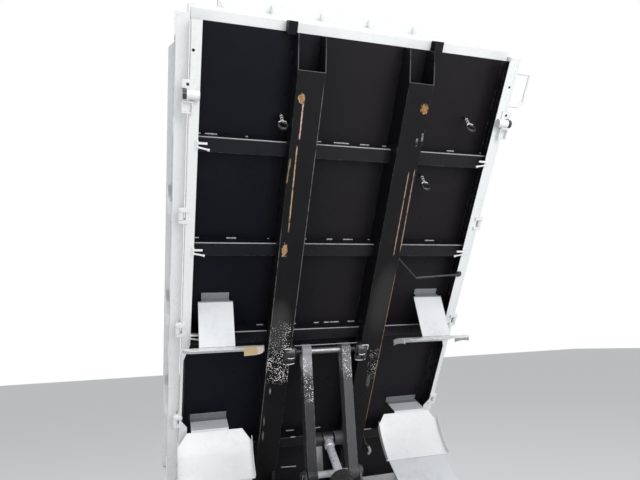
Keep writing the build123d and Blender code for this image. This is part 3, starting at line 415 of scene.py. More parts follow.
@dataclass(frozen=True)
class PaintFinish:
    """A sprayed paint with road dust, its own marks, and an edge colour on rounded edges that is worn paint
    and, on the dark finishes, painted highlights.
    """

    name: str
    colour: Colour
    dirt: Colour
    roughness: float
    dirt_share: float = 0.35
    dirt_scale: float = 3.0
    # edge and edge_share: the colour on rounded edges. It is worn paint, and on the dark finishes it is also
    # painted highlights.
    edge: Colour = (0.3, 0.3, 0.3)
    edge_share: float = 0.3
    peel: float = 0.04
    coat: float = 0.0
    metallic: float = 0.0
    streaks: float = 0.0
    shine: float = 0.5
    fade: Optional[Fade] = None
    zones: tuple[Zone, ...] = ()
    marks: tuple[Mark, ...] = ()

    def material(self) -> bpy.types.Material:
        """Make this finish's material on its first use.

        Returns:
            The material.
        """
        known = bpy.data.materials.get(self.name)
        if known:
            return known
        made = bpy.data.materials.new(self.name)
        made.use_nodes = True
        graph = Graph(made.node_tree)
        shader = made.node_tree.nodes["Principled BSDF"]
        place = graph.add("ShaderNodeTexCoord").outputs["Object"]
        graph.link(self._colours(graph, place), shader.inputs["Base Color"])
        gloss = max(self.roughness - SMOOTHER, GLOSSIEST), min(self.roughness + ROUGHER, 1.0)
        graph.link(graph.ramp(graph.noise(place, GRAIN), GRAIN_RANGE, gloss), shader.inputs["Roughness"])
        shader.inputs["Coat Weight"].default_value = self.coat
        shader.inputs["Coat Roughness"].default_value = COAT_ROUGHNESS
        shader.inputs["Metallic"].default_value = self.metallic
        shader.inputs["Specular IOR Level"].default_value = self.shine
        soft = graph.add("ShaderNodeBevel", {"Radius": ROUNDED_EDGE}, samples=4)
        waves = graph.times(graph.noise(place, WAVES), WAVE_SHARE)
        height = graph.math("ADD", graph.noise(place, RIPPLE), waves)
        bump = {"Strength": self.peel * PEEL_STRENGTH, "Distance": BUMP_DEPTH, "Height": height,
                "Normal": soft.outputs[0]}
        graph.link(graph.add("ShaderNodeBump", bump).outputs[0], shader.inputs["Normal"])
        return made

    def _colours(self, graph: Graph, place: Socket) -> Socket:
        """Lay the paint with its zones, dust, streaks, edges and marks.

        Args:
            graph: The material's graph.
            place: Object coordinates.

        Returns:
            The whole colour's socket.
        """
        axes = self._axes(graph, place)
        colour = graph.mix(0.0, self.colour, self.colour)
        if self.fade:
            passed = graph.ramp(axes[Axis.ACROSS], (self.fade.start, self.fade.end))
            colour = graph.mix(passed, colour, self.fade.colour)
        for zone in self.zones:
            colour = graph.mix(zone.share(graph, axes), colour, zone.colour)
        broad = graph.noise(place, Noise(self.dirt_scale, *DUST_DETAIL))
        fine = graph.noise(place, FINE)
        dust = graph.times(graph.ramp(broad, DUST_RANGE), graph.ramp(fine, DUST_GAPS))
        colour = graph.mix(graph.times(dust, self.dirt_share), colour, self.dirt)
        if self.streaks:
            runs = graph.noise(graph.stretched(place, RUN_STRETCH, TILT), RUNS)
            colour = graph.mix(graph.times(graph.ramp(runs, RUN_GAPS), self.streaks), colour, self.dirt)
        # Rounded edges take the edge colour: worn paint, and on the dark finishes painted highlights.
        soft = graph.add("ShaderNodeBevel", {"Radius": EDGE_WEAR_AND_HIGHLIGHT_RADIUS}, samples=4).outputs[0]
        true = graph.add("ShaderNodeNewGeometry").outputs["Normal"]
        match = graph.add("ShaderNodeVectorMath", {0: soft, 1: true}, operation="DOT_PRODUCT")
        worn_and_lit_edges = graph.times(graph.ramp(match.outputs["Value"], EDGE_MATCH), graph.ramp(fine, EDGE_GAPS))
        colour = graph.mix(graph.times(worn_and_lit_edges, self.edge_share), colour, self.edge)
        for mark in self.marks:
            colour = graph.mix(mark.share(graph, place, axes), colour, mark.colour)
        return colour

    @staticmethod
    def _axes(graph: Graph, place: Socket) -> Axes:
        """Measure a place along every axis.

        Args:
            graph: The material's graph.
            place: Object coordinates.

        Returns:
            Each axis's length.
        """
        flat = graph.add("ShaderNodeVectorRotate", {
            "Vector": place, "Center": (0.0, 0.0, HINGE_HEIGHT), "Angle": -TILT,
        }, rotation_type="Y_AXIS", invert=True).outputs[0]
        raised = graph.add("ShaderNodeSeparateXYZ", {0: place}).outputs
        bed = graph.add("ShaderNodeSeparateXYZ", {0: flat}).outputs
        return {
            Axis.X: raised[0], Axis.Z: raised[2], Axis.BED_X: bed[0], Axis.BED_Z: bed[2],
            Axis.ACROSS: raised[1], Axis.OUT: graph.math("ABSOLUTE", raised[1]),
        }


ENAMEL: Colour = (0.82, 0.83, 0.83)
ROAD_DUST: Colour = (0.45, 0.42, 0.38)
PRIMER: Colour = (0.5, 0.45, 0.4)
TAN: Colour = (0.45, 0.31, 0.19)
PINK: Colour = (0.62, 0.42, 0.36)
RUST: Colour = (0.42, 0.13, 0.03)
OCHRE: Colour = (0.5, 0.25, 0.06)
BROWN: Colour = (0.42, 0.22, 0.09)
ROSE: Colour = (0.42, 0.26, 0.2)
GREASE: Colour = (0.95, 0.91, 0.89)
PALE: Colour = (0.42, 0.4, 0.4)
SCUFF: Colour = (0.16, 0.155, 0.15)
BLACK: Colour = (0.005, 0.0052, 0.008)
SILL_BOTTOM: Span = (0.184, 0.2)
FAR = 9.0


def sill_marks() -> tuple[Mark, ...]:
    """List the marks on the sills' undersides: worn, rusty and greasy places, painted sheen and painted
    highlights.

    Returns:
        The marks, in the order in which they are laid.
    """
    rows = (
        (Look.LINE, (2.675, -0.336), (2.48, -0.335), 0.009, PINK, 0.9),
        (Look.LINE, (2.455, -0.343), (1.95, -0.338), 0.0085, TAN, 1.0),
        (Look.LINE, (2.38, -0.371), (2.24, -0.378), 0.010, TAN, 0.5),
        (Look.PATCH, (2.72, -0.35), (2.665, -0.345), 0.04, TAN, 1.0),
        (Look.PATCH, (2.712, -0.35), (2.682, -0.348), 0.022, RUST, 1.0),
        (Look.PATCH, (1.89, -0.35), (1.80, -0.347), 0.036, TAN, 1.0),
        (Look.PATCH, (1.87, -0.352), (1.81, -0.35), 0.02, OCHRE, 0.9),
        (Look.PATCH, (2.73, 0.353), (2.672, 0.353), 0.05, BROWN, 1.0),
        (Look.LINE, (2.365, 0.368), (1.828, 0.38), 0.0075, ROSE, 0.8),
        (Look.LINE, (2.354, 0.334), (1.805, 0.341), 0.0075, ROSE, 0.9),
        (Look.LINE, (2.537, 0.345), (2.491, 0.347), 0.014, PALE, 0.5),
        (Look.LINE, (2.568, 0.373), (2.521, 0.376), 0.014, PALE, 0.5),
        (Look.SPECKLE, (1.40, -0.33), (0.86, -0.30), 0.16, GREASE, 0.9),
        (Look.SPECKLE, (1.16, -0.32), (0.90, -0.31), 0.16, GREASE, 0.9),
        (Look.SPECKLE, (1.17, 0.35), (0.86, 0.36), 0.1, GREASE, 0.5),
        # The next two hazes are painted sheen on the sills' undersides.
        (Look.HAZE, (1.55, -0.34), (1.1, -0.33), 0.2, (0.07, 0.068, 0.066), 0.6),
        (Look.HAZE, (1.8, 0.34), (1.2, 0.33), 0.22, (0.045, 0.044, 0.043), 0.6),
        (Look.PATCH, (0.88, -0.344), (0.82, -0.34), 0.012, PALE, 0.7),
        (Look.PATCH, (0.65, -0.362), (0.56, -0.357), 0.01, PALE, 0.45),
        (Look.PATCH, (0.53, -0.358), (0.44, -0.355), 0.011, PALE, 0.5),
        (Look.PATCH, (0.93, 0.335), (0.81, 0.34), 0.03, SCUFF, 0.7),
        # The next two faint pale lines along one sill's bottom edges are painted highlights.
        (Look.LINE, (2.8, -0.2375), (0.9, -0.2375), 0.0045, PALE, 0.3),
        (Look.LINE, (2.0, -0.3795), (0.4, -0.3795), 0.0045, PALE, 0.3),
        (Look.LINE, (1.7, 0.3795), (0.5, 0.3795), 0.005, TAN, 0.5),
    )
    return tuple(Mark(*row, heights=SILL_BOTTOM) for row in rows)


WHITE = PaintFinish(
    "bed_white_enamel", ENAMEL, ROAD_DUST, roughness=0.3, dirt_share=0.14, dirt_scale=2.2,
    edge=PRIMER, edge_share=0.25, coat=0.3, streaks=0.06)
RAIL_WHITE = replace(
    WHITE, name="rail_white_enamel", dirt=(0.3, 0.28, 0.26), dirt_share=0.12, edge_share=0.2, coat=0.0,
    streaks=0.0, zones=(Zone(BLACK, ((Axis.BED_Z, 0.2365, FAR), (Axis.OUT, 0.0, 0.898))),))
# The dark zone at the keeper barrel's outer end is a dark knob, with painted shade of the recess beside it.
KEEPER_WHITE = replace(
    WHITE, name="gate_keeper_white", edge=(0.4, 0.38, 0.35), edge_share=0.5, streaks=0.0,
    zones=(Zone((0.015, 0.015, 0.016), (
        (Axis.OUT, 0.914, 1.0), (Axis.BED_X, 2.632, 2.684), (Axis.BED_Z, 0.1, 0.2335))),))
GUARD_WHITE = replace(
    WHITE, name="mudguard_white", edge_share=0.3, streaks=0.0,
    marks=(Mark(Look.PATCH, (1.33, -0.47), (1.2, -0.46), 0.05, (0.6, 0.42, 0.24), 0.6),))
UNDERBODY = PaintFinish(
    "underbody_black", (0.0035, 0.004, 0.0085), (0.018, 0.017, 0.017), roughness=0.36, dirt_share=0.3,
    dirt_scale=2.6, edge=(0.1, 0.1, 0.1), edge_share=0.2, peel=0.02, shine=0.12,
    fade=Fade((0.013, 0.0112, 0.0135), -0.6, 0.1),
    zones=(Zone((0.5, 0.51, 0.51), ((Axis.BED_Z, 0.3385, 1.0),)),))
BEARER_BLACK = PaintFinish(
    "bearer_black", (0.006, 0.0065, 0.01), (0.02, 0.019, 0.019), roughness=0.34, dirt_share=0.3,
    dirt_scale=2.6, edge=(0.3, 0.3, 0.31), edge_share=0.3, peel=0.02, shine=0.2,
    fade=Fade((0.012, 0.0105, 0.0125), -0.55, 0.1))
SILL_BLACK = PaintFinish(
    "sill_black", (0.007, 0.0068, 0.008), (0.022, 0.02, 0.019), roughness=0.36, dirt_share=0.35,
    dirt_scale=3.0, edge=(0.28, 0.26, 0.24), edge_share=0.35, peel=0.03, shine=0.15, marks=sill_marks())
# The arms' pale edge colour paints highlights along their edges.
ARM_BLACK = PaintFinish(
    "lift_arm_black", (0.028, 0.028, 0.032), (0.07, 0.066, 0.066), roughness=0.38, dirt_share=0.45,
    dirt_scale=7.0, edge=(0.5, 0.5, 0.5), edge_share=0.5, shine=0.25,
    fade=Fade((0.075, 0.075, 0.08), -0.02, 0.1),
    zones=(Zone((0.62, 0.62, 0.64), ((Axis.OUT, 0.0, 0.1015), (Axis.Z, -1.0, 0.4))),),
    marks=(
        Mark(Look.HAZE, (1.24, -0.132), (1.0, -0.132), 0.3, (0.42, 0.41, 0.44), 0.7),
        Mark(Look.HAZE, (1.2, 0.132), (1.0, 0.132), 0.3, (0.26, 0.255, 0.265), 0.45),
        Mark(Look.SPECKLE, (1.14, -0.132), (0.87, -0.132), 0.09, GREASE, 0.95),
        Mark(Look.SPECKLE, (1.08, -0.132), (0.90, -0.132), 0.09, GREASE, 0.95),
        Mark(Look.SPECKLE, (1.18, 0.132), (0.98, 0.132), 0.09, GREASE, 0.9),
    ))
SUBFRAME_BLACK = PaintFinish(
    "subframe_black", (0.014, 0.014, 0.016), (0.1, 0.09, 0.08), roughness=0.45, dirt_share=0.55,
    dirt_scale=4.0, edge=(0.2, 0.16, 0.13), edge_share=0.5, shine=0.3)
STAY_GREY = PaintFinish(
    "stay_grey", (0.76, 0.77, 0.78), (0.3, 0.29, 0.28), roughness=0.42, dirt_share=0.35, dirt_scale=6.0,
    edge=(0.7, 0.7, 0.7), edge_share=0.4,
    zones=(Zone((0.22, 0.225, 0.24), ((Axis.BED_Z, 0.29, 1.0),)),))
STEEL = PaintFinish(
    "worn_steel", (0.42, 0.41, 0.39), (0.16, 0.11, 0.08), roughness=0.38, dirt_share=0.5, dirt_scale=12.0,
    edge=(0.7, 0.69, 0.67), edge_share=0.6, metallic=1.0)
SHAFT_STEEL = PaintFinish(
    "worn_shaft", (0.3, 0.3, 0.31), (0.2, 0.19, 0.18), roughness=0.3, dirt_share=0.4, dirt_scale=14.0,
    edge=(0.6, 0.6, 0.6), edge_share=0.4, metallic=0.8,
    zones=(Zone((0.03, 0.03, 0.032), ((Axis.OUT, 0.164, FAR),)),))
BARE_PLATE = PaintFinish(
    "bare_plate", (0.24, 0.24, 0.25), (0.08, 0.08, 0.08), roughness=0.4, dirt_share=0.5, dirt_scale=10.0,
    edge=(0.6, 0.6, 0.6), edge_share=0.4, metallic=0.3)
BARE_TAB = PaintFinish(
    "bare_primed_tab", (0.58, 0.44, 0.25), (0.4, 0.26, 0.15), roughness=0.45, dirt_share=0.35,
    dirt_scale=16.0, edge=(0.75, 0.7, 0.62), edge_share=0.5,
    zones=(Zone((0.68, 0.58, 0.5), ((Axis.OUT, 0.0, 0.503),)),))
ZINC = PaintFinish(
    "zinc_bolt", (0.6, 0.6, 0.58), (0.25, 0.2, 0.15), roughness=0.33, dirt_share=0.4, dirt_scale=24.0,
    edge=(0.75, 0.75, 0.74), edge_share=0.4, metallic=1.0)
GLOSS_BLACK = PaintFinish(
    "glossy_black_iron", (0.02, 0.02, 0.022), (0.008, 0.008, 0.008), roughness=0.18, dirt_share=0.4,
    dirt_scale=30.0, edge=(0.5, 0.5, 0.5), edge_share=0.35, metallic=0.2, shine=0.7)
# Painted highlights: bright bars where edges and curved iron catch the light.
GLINT = PaintFinish(
    "painted_highlight", (0.78, 0.78, 0.8), (0.3, 0.3, 0.3), roughness=0.25, dirt_share=0.3,
    dirt_scale=20.0, edge=(0.9, 0.9, 0.9), edge_share=0.2)
WELD = PaintFinish(
    "painted_weld", (0.5, 0.5, 0.52), (0.06, 0.06, 0.06), roughness=0.3, dirt_share=0.7, dirt_scale=24.0,
    edge=(0.5, 0.5, 0.5), edge_share=0.3)
# Painted highlights: pale bars where the glossy black folds reflect the sky. The dark dirt colour breaks them
# into pieces.
FOLD_HIGHLIGHT = PaintFinish(
    "painted_fold_highlight", (0.42, 0.42, 0.44), (0.05, 0.05, 0.055), roughness=0.32, dirt_share=1.0, dirt_scale=4.2,
    edge=(0.6, 0.6, 0.6), edge_share=0.2)
DIM_FOLD_HIGHLIGHT = PaintFinish(
    "dim_painted_highlight", (0.13, 0.13, 0.14), (0.02, 0.02, 0.022), roughness=0.4, dirt_share=1.0, dirt_scale=5.0,
    edge=(0.2, 0.2, 0.2), edge_share=0.2)
CHROME = PaintFinish(
    "rod_chrome", (0.72, 0.71, 0.78), (0.5, 0.48, 0.5), roughness=0.3, dirt_share=0.2, dirt_scale=14.0,
    edge=(0.85, 0.85, 0.85), edge_share=0.1, peel=0.004, metallic=0.45, shine=0.8,
    zones=(Zone((0.05, 0.045, 0.045), ((Axis.X, -1.0, 0.535),)),))
FLAP = PaintFinish(
    "grey_rubber", (0.68, 0.69, 0.7), (0.24, 0.22, 0.2), roughness=0.7, dirt_share=0.5, dirt_scale=5.0,
    edge=(0.5, 0.5, 0.5), edge_share=0.2, peel=0.1)
STRIP = PaintFinish(
    "rest_strip_black", (0.03, 0.028, 0.026), (0.12, 0.1, 0.08), roughness=0.75, dirt_share=0.6,
    dirt_scale=9.0, edge=(0.1, 0.09, 0.08), edge_share=0.3, peel=0.15)


# Meshes and pieces


def finish_mesh(name: str, mesh: bpy.types.Mesh, finish: PaintFinish, body: Body,
                turn: Matrix = LEVEL, smooth_angle: float = 40.0) -> bpy.types.Object:
    """Make a mesh into a piece that rides on a body.

    Args:
        name: The piece's name.
        mesh: Its mesh, with its place in its vertices.
        finish: Its finish.
        body: The body it rides on.
        turn: A turn to bake into the mesh, such as the raised bed's.
        smooth_angle: Edges sharper than this stay sharp, in degrees.

    Returns:
        The finished object.
    """
    mesh.transform(turn)
    mesh.name = name
    mesh.materials.clear()
    mesh.materials.append(finish.material())
    mesh.polygons.foreach_set("use_smooth", [True] * len(mesh.polygons))
    mesh.set_sharp_from_angle(angle=math.radians(smooth_angle))
    piece = bpy.data.objects.new(name, mesh)
    bpy.context.scene.collection.objects.link(piece)
    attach(piece, body.value)
    LOG.info("made %s with %d faces", name, len(mesh.polygons))
    return piece


def on_bed(name: str, mesh: bpy.types.Mesh, finish: PaintFinish) -> bpy.types.Object:
    """Return a finished piece of the raised bed, from a mesh of the lowered bed."""
    return finish_mesh(name, mesh, finish, Body.BED, BED_UP)


def mesh_of(shape: bmesh.types.BMesh) -> bpy.types.Mesh:
    """Make a mesh of a drawn shape, with its doubles merged and its faces outward.

    Args:
        shape: The shape, which is used up.

    Returns:
        The mesh.
    """
    bmesh.ops.remove_doubles(shape, verts=shape.verts, dist=MERGE_DISTANCE)
    bmesh.ops.recalc_face_normals(shape, faces=shape.faces)
    mesh = bpy.data.meshes.new("shape")
    shape.to_mesh(mesh)
    shape.free()
    return mesh


def plain_mesh(thing: bpy.types.Object) -> bpy.types.Mesh:
    """Make a mesh of an object's evaluated shape, and delete the object.

    Args:
        thing: The object with its modifiers.

    Returns:
        The plain mesh.
    """
    bpy.context.view_layer.update()
    graph = bpy.context.evaluated_depsgraph_get()
    mesh = bpy.data.meshes.new_from_object(thing.evaluated_get(graph))
    bpy.data.objects.remove(thing)
    return mesh


def join_meshes(meshes: Iterable[bpy.types.Mesh]) -> bpy.types.Mesh:
    """Make one mesh of several.

    Args:
        meshes: The meshes, which are used up.

    Returns:
        The joined mesh.
    """
    shape = bmesh.new()
    for mesh in meshes:
        shape.from_mesh(mesh)
        bpy.data.meshes.remove(mesh)
    whole = bpy.data.meshes.new("joined")
    shape.to_mesh(whole)
    shape.free()
    return whole


def bevelled_box(low: Point, high: Point, radius: float) -> bpy.types.Mesh:
    """Make a box with rounded edges.

    Args:
        low: Its corner of least lengths.
        high: Its corner of greatest lengths.
        radius: Its edges' radius.

    Returns:
        The box's mesh.
    """
    shape = bmesh.new()
    size = [b - a for a, b in zip(low, high)]
    middle = [(a + b) / 2 for a, b in zip(low, high)]
    place = Matrix.Translation(middle) @ Matrix.Diagonal((*size, 1.0))
    bmesh.ops.create_cube(shape, size=1.0, matrix=place)
    bmesh.ops.bevel(shape, geom=shape.edges[:], offset=radius, segments=2, affect="EDGES", profile=0.6)
    return mesh_of(shape)


def ring(centre: Point, axis: Point, outline: Outline, sides: int = 32) -> bpy.types.Mesh:
    """Make a turned piece.

    Args:
        centre: A point on its axis.
        axis: The axis.
        outline: A closed outline of (along, radius) points.
        sides: Steps round the axis.

    Returns:
        The turned mesh.
    """
    shape = bmesh.new()
    turn = Vector(UPRIGHT).rotation_difference(Vector(axis)).to_matrix().to_4x4()
    place = Matrix.Translation(centre) @ turn
    loops = []
    for step in range(sides):
        angle = 2 * math.pi * step / sides
        loops.append([
            shape.verts.new(place @ Vector((radius * math.cos(angle), radius * math.sin(angle), along)))
            for along, radius in outline
        ])
    count = len(outline)
    for step in range(sides):
        here, after = loops[step], loops[(step + 1) % sides]
        for index in range(count):
            follow = (index + 1) % count
            shape.faces.new((here[index], here[follow], after[follow], after[index]))
    bmesh.ops.dissolve_degenerate(shape, dist=NO_LENGTH, edges=shape.edges[:])
    return mesh_of(shape)


# Patterns made with geometry nodes


class Pattern:
    """A geometry node tree that puts one small shape wherever it repeats."""

    def __init__(self, name: str, sizes: dict[str, float]) -> None:
        """Start a tree with named number inputs.

        Args:
            name: The tree's name.
            sizes: Each input's name and value.
        """
        self.sizes = sizes
        self.tree = bpy.data.node_groups.new(name, "GeometryNodeTree")
        face = self.tree.interface
        face.new_socket("Geometry", in_out="INPUT", socket_type="NodeSocketGeometry")
        for size in sizes:
            face.new_socket(size, in_out="INPUT", socket_type="NodeSocketFloat")
        face.new_socket("Geometry", in_out="OUTPUT", socket_type="NodeSocketGeometry")
        self.graph = Graph(self.tree)
        self.start = self.graph.add("NodeGroupInput")

    def size(self, name: str) -> Socket:
        """Return one of the tree's inputs."""
        return self.start.outputs[name]

    def close(self, shape: Socket, material: bpy.types.Material) -> None:
        """End the tree by making its copies real and giving them their material.

        Args:
            shape: The tree's whole shape.
            material: Its material.
        """
        real = self.graph.add("GeometryNodeRealizeInstances", {0: shape})
        dressed = self.graph.add("GeometryNodeSetMaterial", {0: real.outputs[0], "Material": material})
        self.graph.add("NodeGroupOutput", {0: dressed.outputs[0]})

    def run(self, base: bpy.types.Mesh) -> bpy.types.Mesh:
        """Run the tree on a mesh.

        Args:
            base: The points or lines to put the shape on.

        Returns:
            What the tree makes of it, as a plain mesh.
        """
        thing = bpy.data.objects.new("base", base)
        bpy.context.scene.collection.objects.link(thing)
        modifier = thing.modifiers.new("pattern", "NODES")
        modifier.node_group = self.tree
        for item in self.tree.interface.items_tree:
            if item.item_type == "SOCKET" and item.in_out == "INPUT" and item.name in self.sizes:
                modifier[item.identifier] = self.sizes[item.name]
        return plain_mesh(thing)


def points_mesh(places: Sequence[tuple[Point, Point]]) -> bpy.types.Mesh:
    """Make a mesh of loose points that each keep a direction.

    Args:
        places: Each point and its direction.

    Returns:
        The mesh, with the directions as its attribute "way".
    """
    mesh = bpy.data.meshes.new("places")
    mesh.from_pydata([place for place, _ in places], [], [])
    way = mesh.attributes.new("way", "FLOAT_VECTOR", "POINT")
    for item, (_, direction) in zip(way.data, places):
        item.vector = direction
    return mesh


def paths_mesh(paths: Sequence[Sequence[Point]]) -> bpy.types.Mesh:
    """Make a mesh of open lines.

    Args:
        paths: The lines' points.

    Returns:
        The mesh.
    """
    points, edges = [], []
    for path in paths:
        first = len(points)
        points += path
        edges += [(first + n, first + n + 1) for n in range(len(path) - 1)]
    mesh = bpy.data.meshes.new("paths")
    mesh.from_pydata(points, edges, [])
    return mesh


class BoltPattern(Pattern):
    """Hexagon bolts on washers, one at each point.

    The head's height and the washer's sizes are shares of the head's radius. The shank's radius and
    rise are shares of the head's radius and height.
    """

    HEAD_HEIGHT = 0.75
    WASHER_RADIUS = 1.45
    WASHER_HEIGHT = 0.22
    SHANK_RADIUS = 0.52
    SHANK_RISE = 1.1
    WASHER_SIDES = 20
    SHANK_SIDES = 14

    def __init__(self, radius: float, finish: PaintFinish) -> None:
        """Build the tree for one bolt size.

        Args:
            radius: The head's radius.
            finish: The bolts' finish.
        """
        super().__init__("bolt_rows", {
            "Head Radius": radius, "Head Height": radius * self.HEAD_HEIGHT,
            "Washer Radius": radius * self.WASHER_RADIUS, "Washer Height": radius * self.WASHER_HEIGHT})
        graph = self.graph
        head_radius, head_height = self.size("Head Radius"), self.size("Head Height")
        washer_height = self.size("Washer Height")
        head_middle = graph.math("ADD", graph.times(head_height, 0.5), washer_height)
        washer_middle = graph.times(washer_height, 0.5)
        shank_radius = graph.times(head_radius, self.SHANK_RADIUS)
        shank_middle = graph.times(head_height, self.SHANK_RISE)
        bolt = graph.add("GeometryNodeJoinGeometry")
        for sides, wide, depth, height in (
            (HEXAGON, head_radius, head_height, head_middle),
            (self.WASHER_SIDES, self.size("Washer Radius"), washer_height, washer_middle),
            (self.SHANK_SIDES, shank_radius, head_height, shank_middle),
        ):
            part = graph.add("GeometryNodeMeshCylinder", {"Vertices": sides, "Radius": wide, "Depth": depth})
            shift = graph.add("ShaderNodeCombineXYZ", {"Z": height})
            moved = graph.add("GeometryNodeTransform", {0: part.outputs[0], "Translation": shift.outputs[0]})
            graph.link(moved.outputs[0], bolt.inputs[0])
        way = graph.add("GeometryNodeInputNamedAttribute", {"Name": "way"}, data_type="FLOAT_VECTOR")
        turn = graph.add("FunctionNodeAlignRotationToVector", {"Vector": way.outputs[0]}, axis="Z")
        spots = graph.add("GeometryNodeMeshToPoints", {0: self.start.outputs[0]})
        copies = graph.add("GeometryNodeInstanceOnPoints", {
            "Points": spots.outputs[0], "Instance": bolt.outputs[0], "Rotation": turn.outputs[0]})
        self.close(copies.outputs[0], finish.material())


class WeldPattern(Pattern):
    """Overlapping beads of weld along lines."""

    BEAD_TURN: Point = (6.28, 6.28, 6.28)
    BEAD_GROWTH: Span = (0.75, 1.25)

    def __init__(self, pitch: float, size: float, seed: int, finish: PaintFinish) -> None:
        """Build the tree for one weld size.

        Args:
            pitch: The beads' distance.
            size: Their radius.
            seed: The seed of their turns. Their sizes use the next one.
            finish: Their finish.
        """
        super().__init__("weld_beads", {"Bead Pitch": pitch, "Bead Size": size})
        graph = self.graph
        line = graph.add("GeometryNodeMeshToCurve", {0: self.start.outputs[0]})
        even = graph.add("GeometryNodeResampleCurve", {0: line.outputs[0], "Length": self.size("Bead Pitch")},
                         mode="LENGTH")
        bead = graph.add("GeometryNodeMeshIcoSphere", {"Radius": self.size("Bead Size"), "Subdivisions": 2})
        spin = graph.add("FunctionNodeRandomValue", {"Seed": seed}, data_type="FLOAT_VECTOR")
        spin.inputs[1].default_value = self.BEAD_TURN
        grow = graph.add("FunctionNodeRandomValue", {"Seed": seed + 1}, data_type="FLOAT")
        grow.inputs[2].default_value, grow.inputs[3].default_value = self.BEAD_GROWTH
        turn = graph.add("FunctionNodeEulerToRotation", {0: spin.outputs[0]})
        copies = graph.add("GeometryNodeInstanceOnPoints", {
            "Points": even.outputs[0], "Instance": bead.outputs[0], "Rotation": turn.outputs[0],
            "Scale": grow.outputs[1]})
        self.close(copies.outputs[0], finish.material())


class BarPattern(Pattern):
    """Round bars that follow lines."""

    def __init__(self, radius: float, finish: PaintFinish, sides: int = 10) -> None:
        """Build the tree for one thickness.

        Args:
            radius: The bars' radius.
            finish: Their finish.
            sides: Faces round a bar.
        """
        super().__init__("round_bars", {"Bar Radius": radius})
        graph = self.graph
        line = graph.add("GeometryNodeMeshToCurve", {0: self.start.outputs[0]})
        round_profile = graph.add("GeometryNodeCurvePrimitiveCircle", {
            "Resolution": sides, "Radius": self.size("Bar Radius")})
        bar = graph.add("GeometryNodeCurveToMesh", {
            0: line.outputs[0], "Profile Curve": round_profile.outputs[0], "Fill Caps": True})
        self.close(bar.outputs[0], finish.material())


def smooth_line(points: Sequence[Point], steps: int = 8) -> list[Point]:
    """Bend a line smoothly through its points.

    Args:
        points: The points that it passes through.
        steps: Straight pieces between two of them.

    Returns:
        The finer line.
    """
    spots = [Vector(point) for point in points]
    ends = [spots[0] * 2 - spots[1], *spots, spots[-1] * 2 - spots[-2]]
    line = []
    for before, start, end, after in zip(ends, ends[1:], ends[2:], ends[3:]):
        for step in range(steps):
            t = step / steps
            line.append(tuple(0.5 * (
                2 * start + (end - before) * t + (2 * before - 5 * start + 4 * end - after) * t * t
                + (3 * start - before - 3 * end + after) * t * t * t)))
    return [*line, tuple(spots[-1])]


def lay_bars(name: str, lines: Sequence[Sequence[Point]], radius: float, finish: PaintFinish) -> None:
    """Make one piece of round bars along lines of the lowered bed.

    Args:
        name: The piece's name.
        lines: The bars' lines.
        radius: Their radius.
        finish: Their finish.
    """
    on_bed(name, BarPattern(radius, finish).run(paths_mesh(lines)), finish)


# Sub-assemblies


@dataclass(frozen=True)
class BedFrame:
    """Where the bed's folded frame lies, as the solids have it."""

    front: float = 3.0
    rear: float = -0.25
    underside: float = 0.336
    rail_web: float = 0.896
    sill_inner: float = 0.235
    sill_outer: float = 0.382
    sill_bottom: float = 0.188
    sill_cut: float = 2.83
    sill_lip: float = 0.252
    bearer_low: float = 0.266
    bearer_fronts: tuple[float, ...] = (2.448, 1.853, 1.258, 0.362)
    shaft: Span = (1.126, 0.212)


BED = BedFrame()


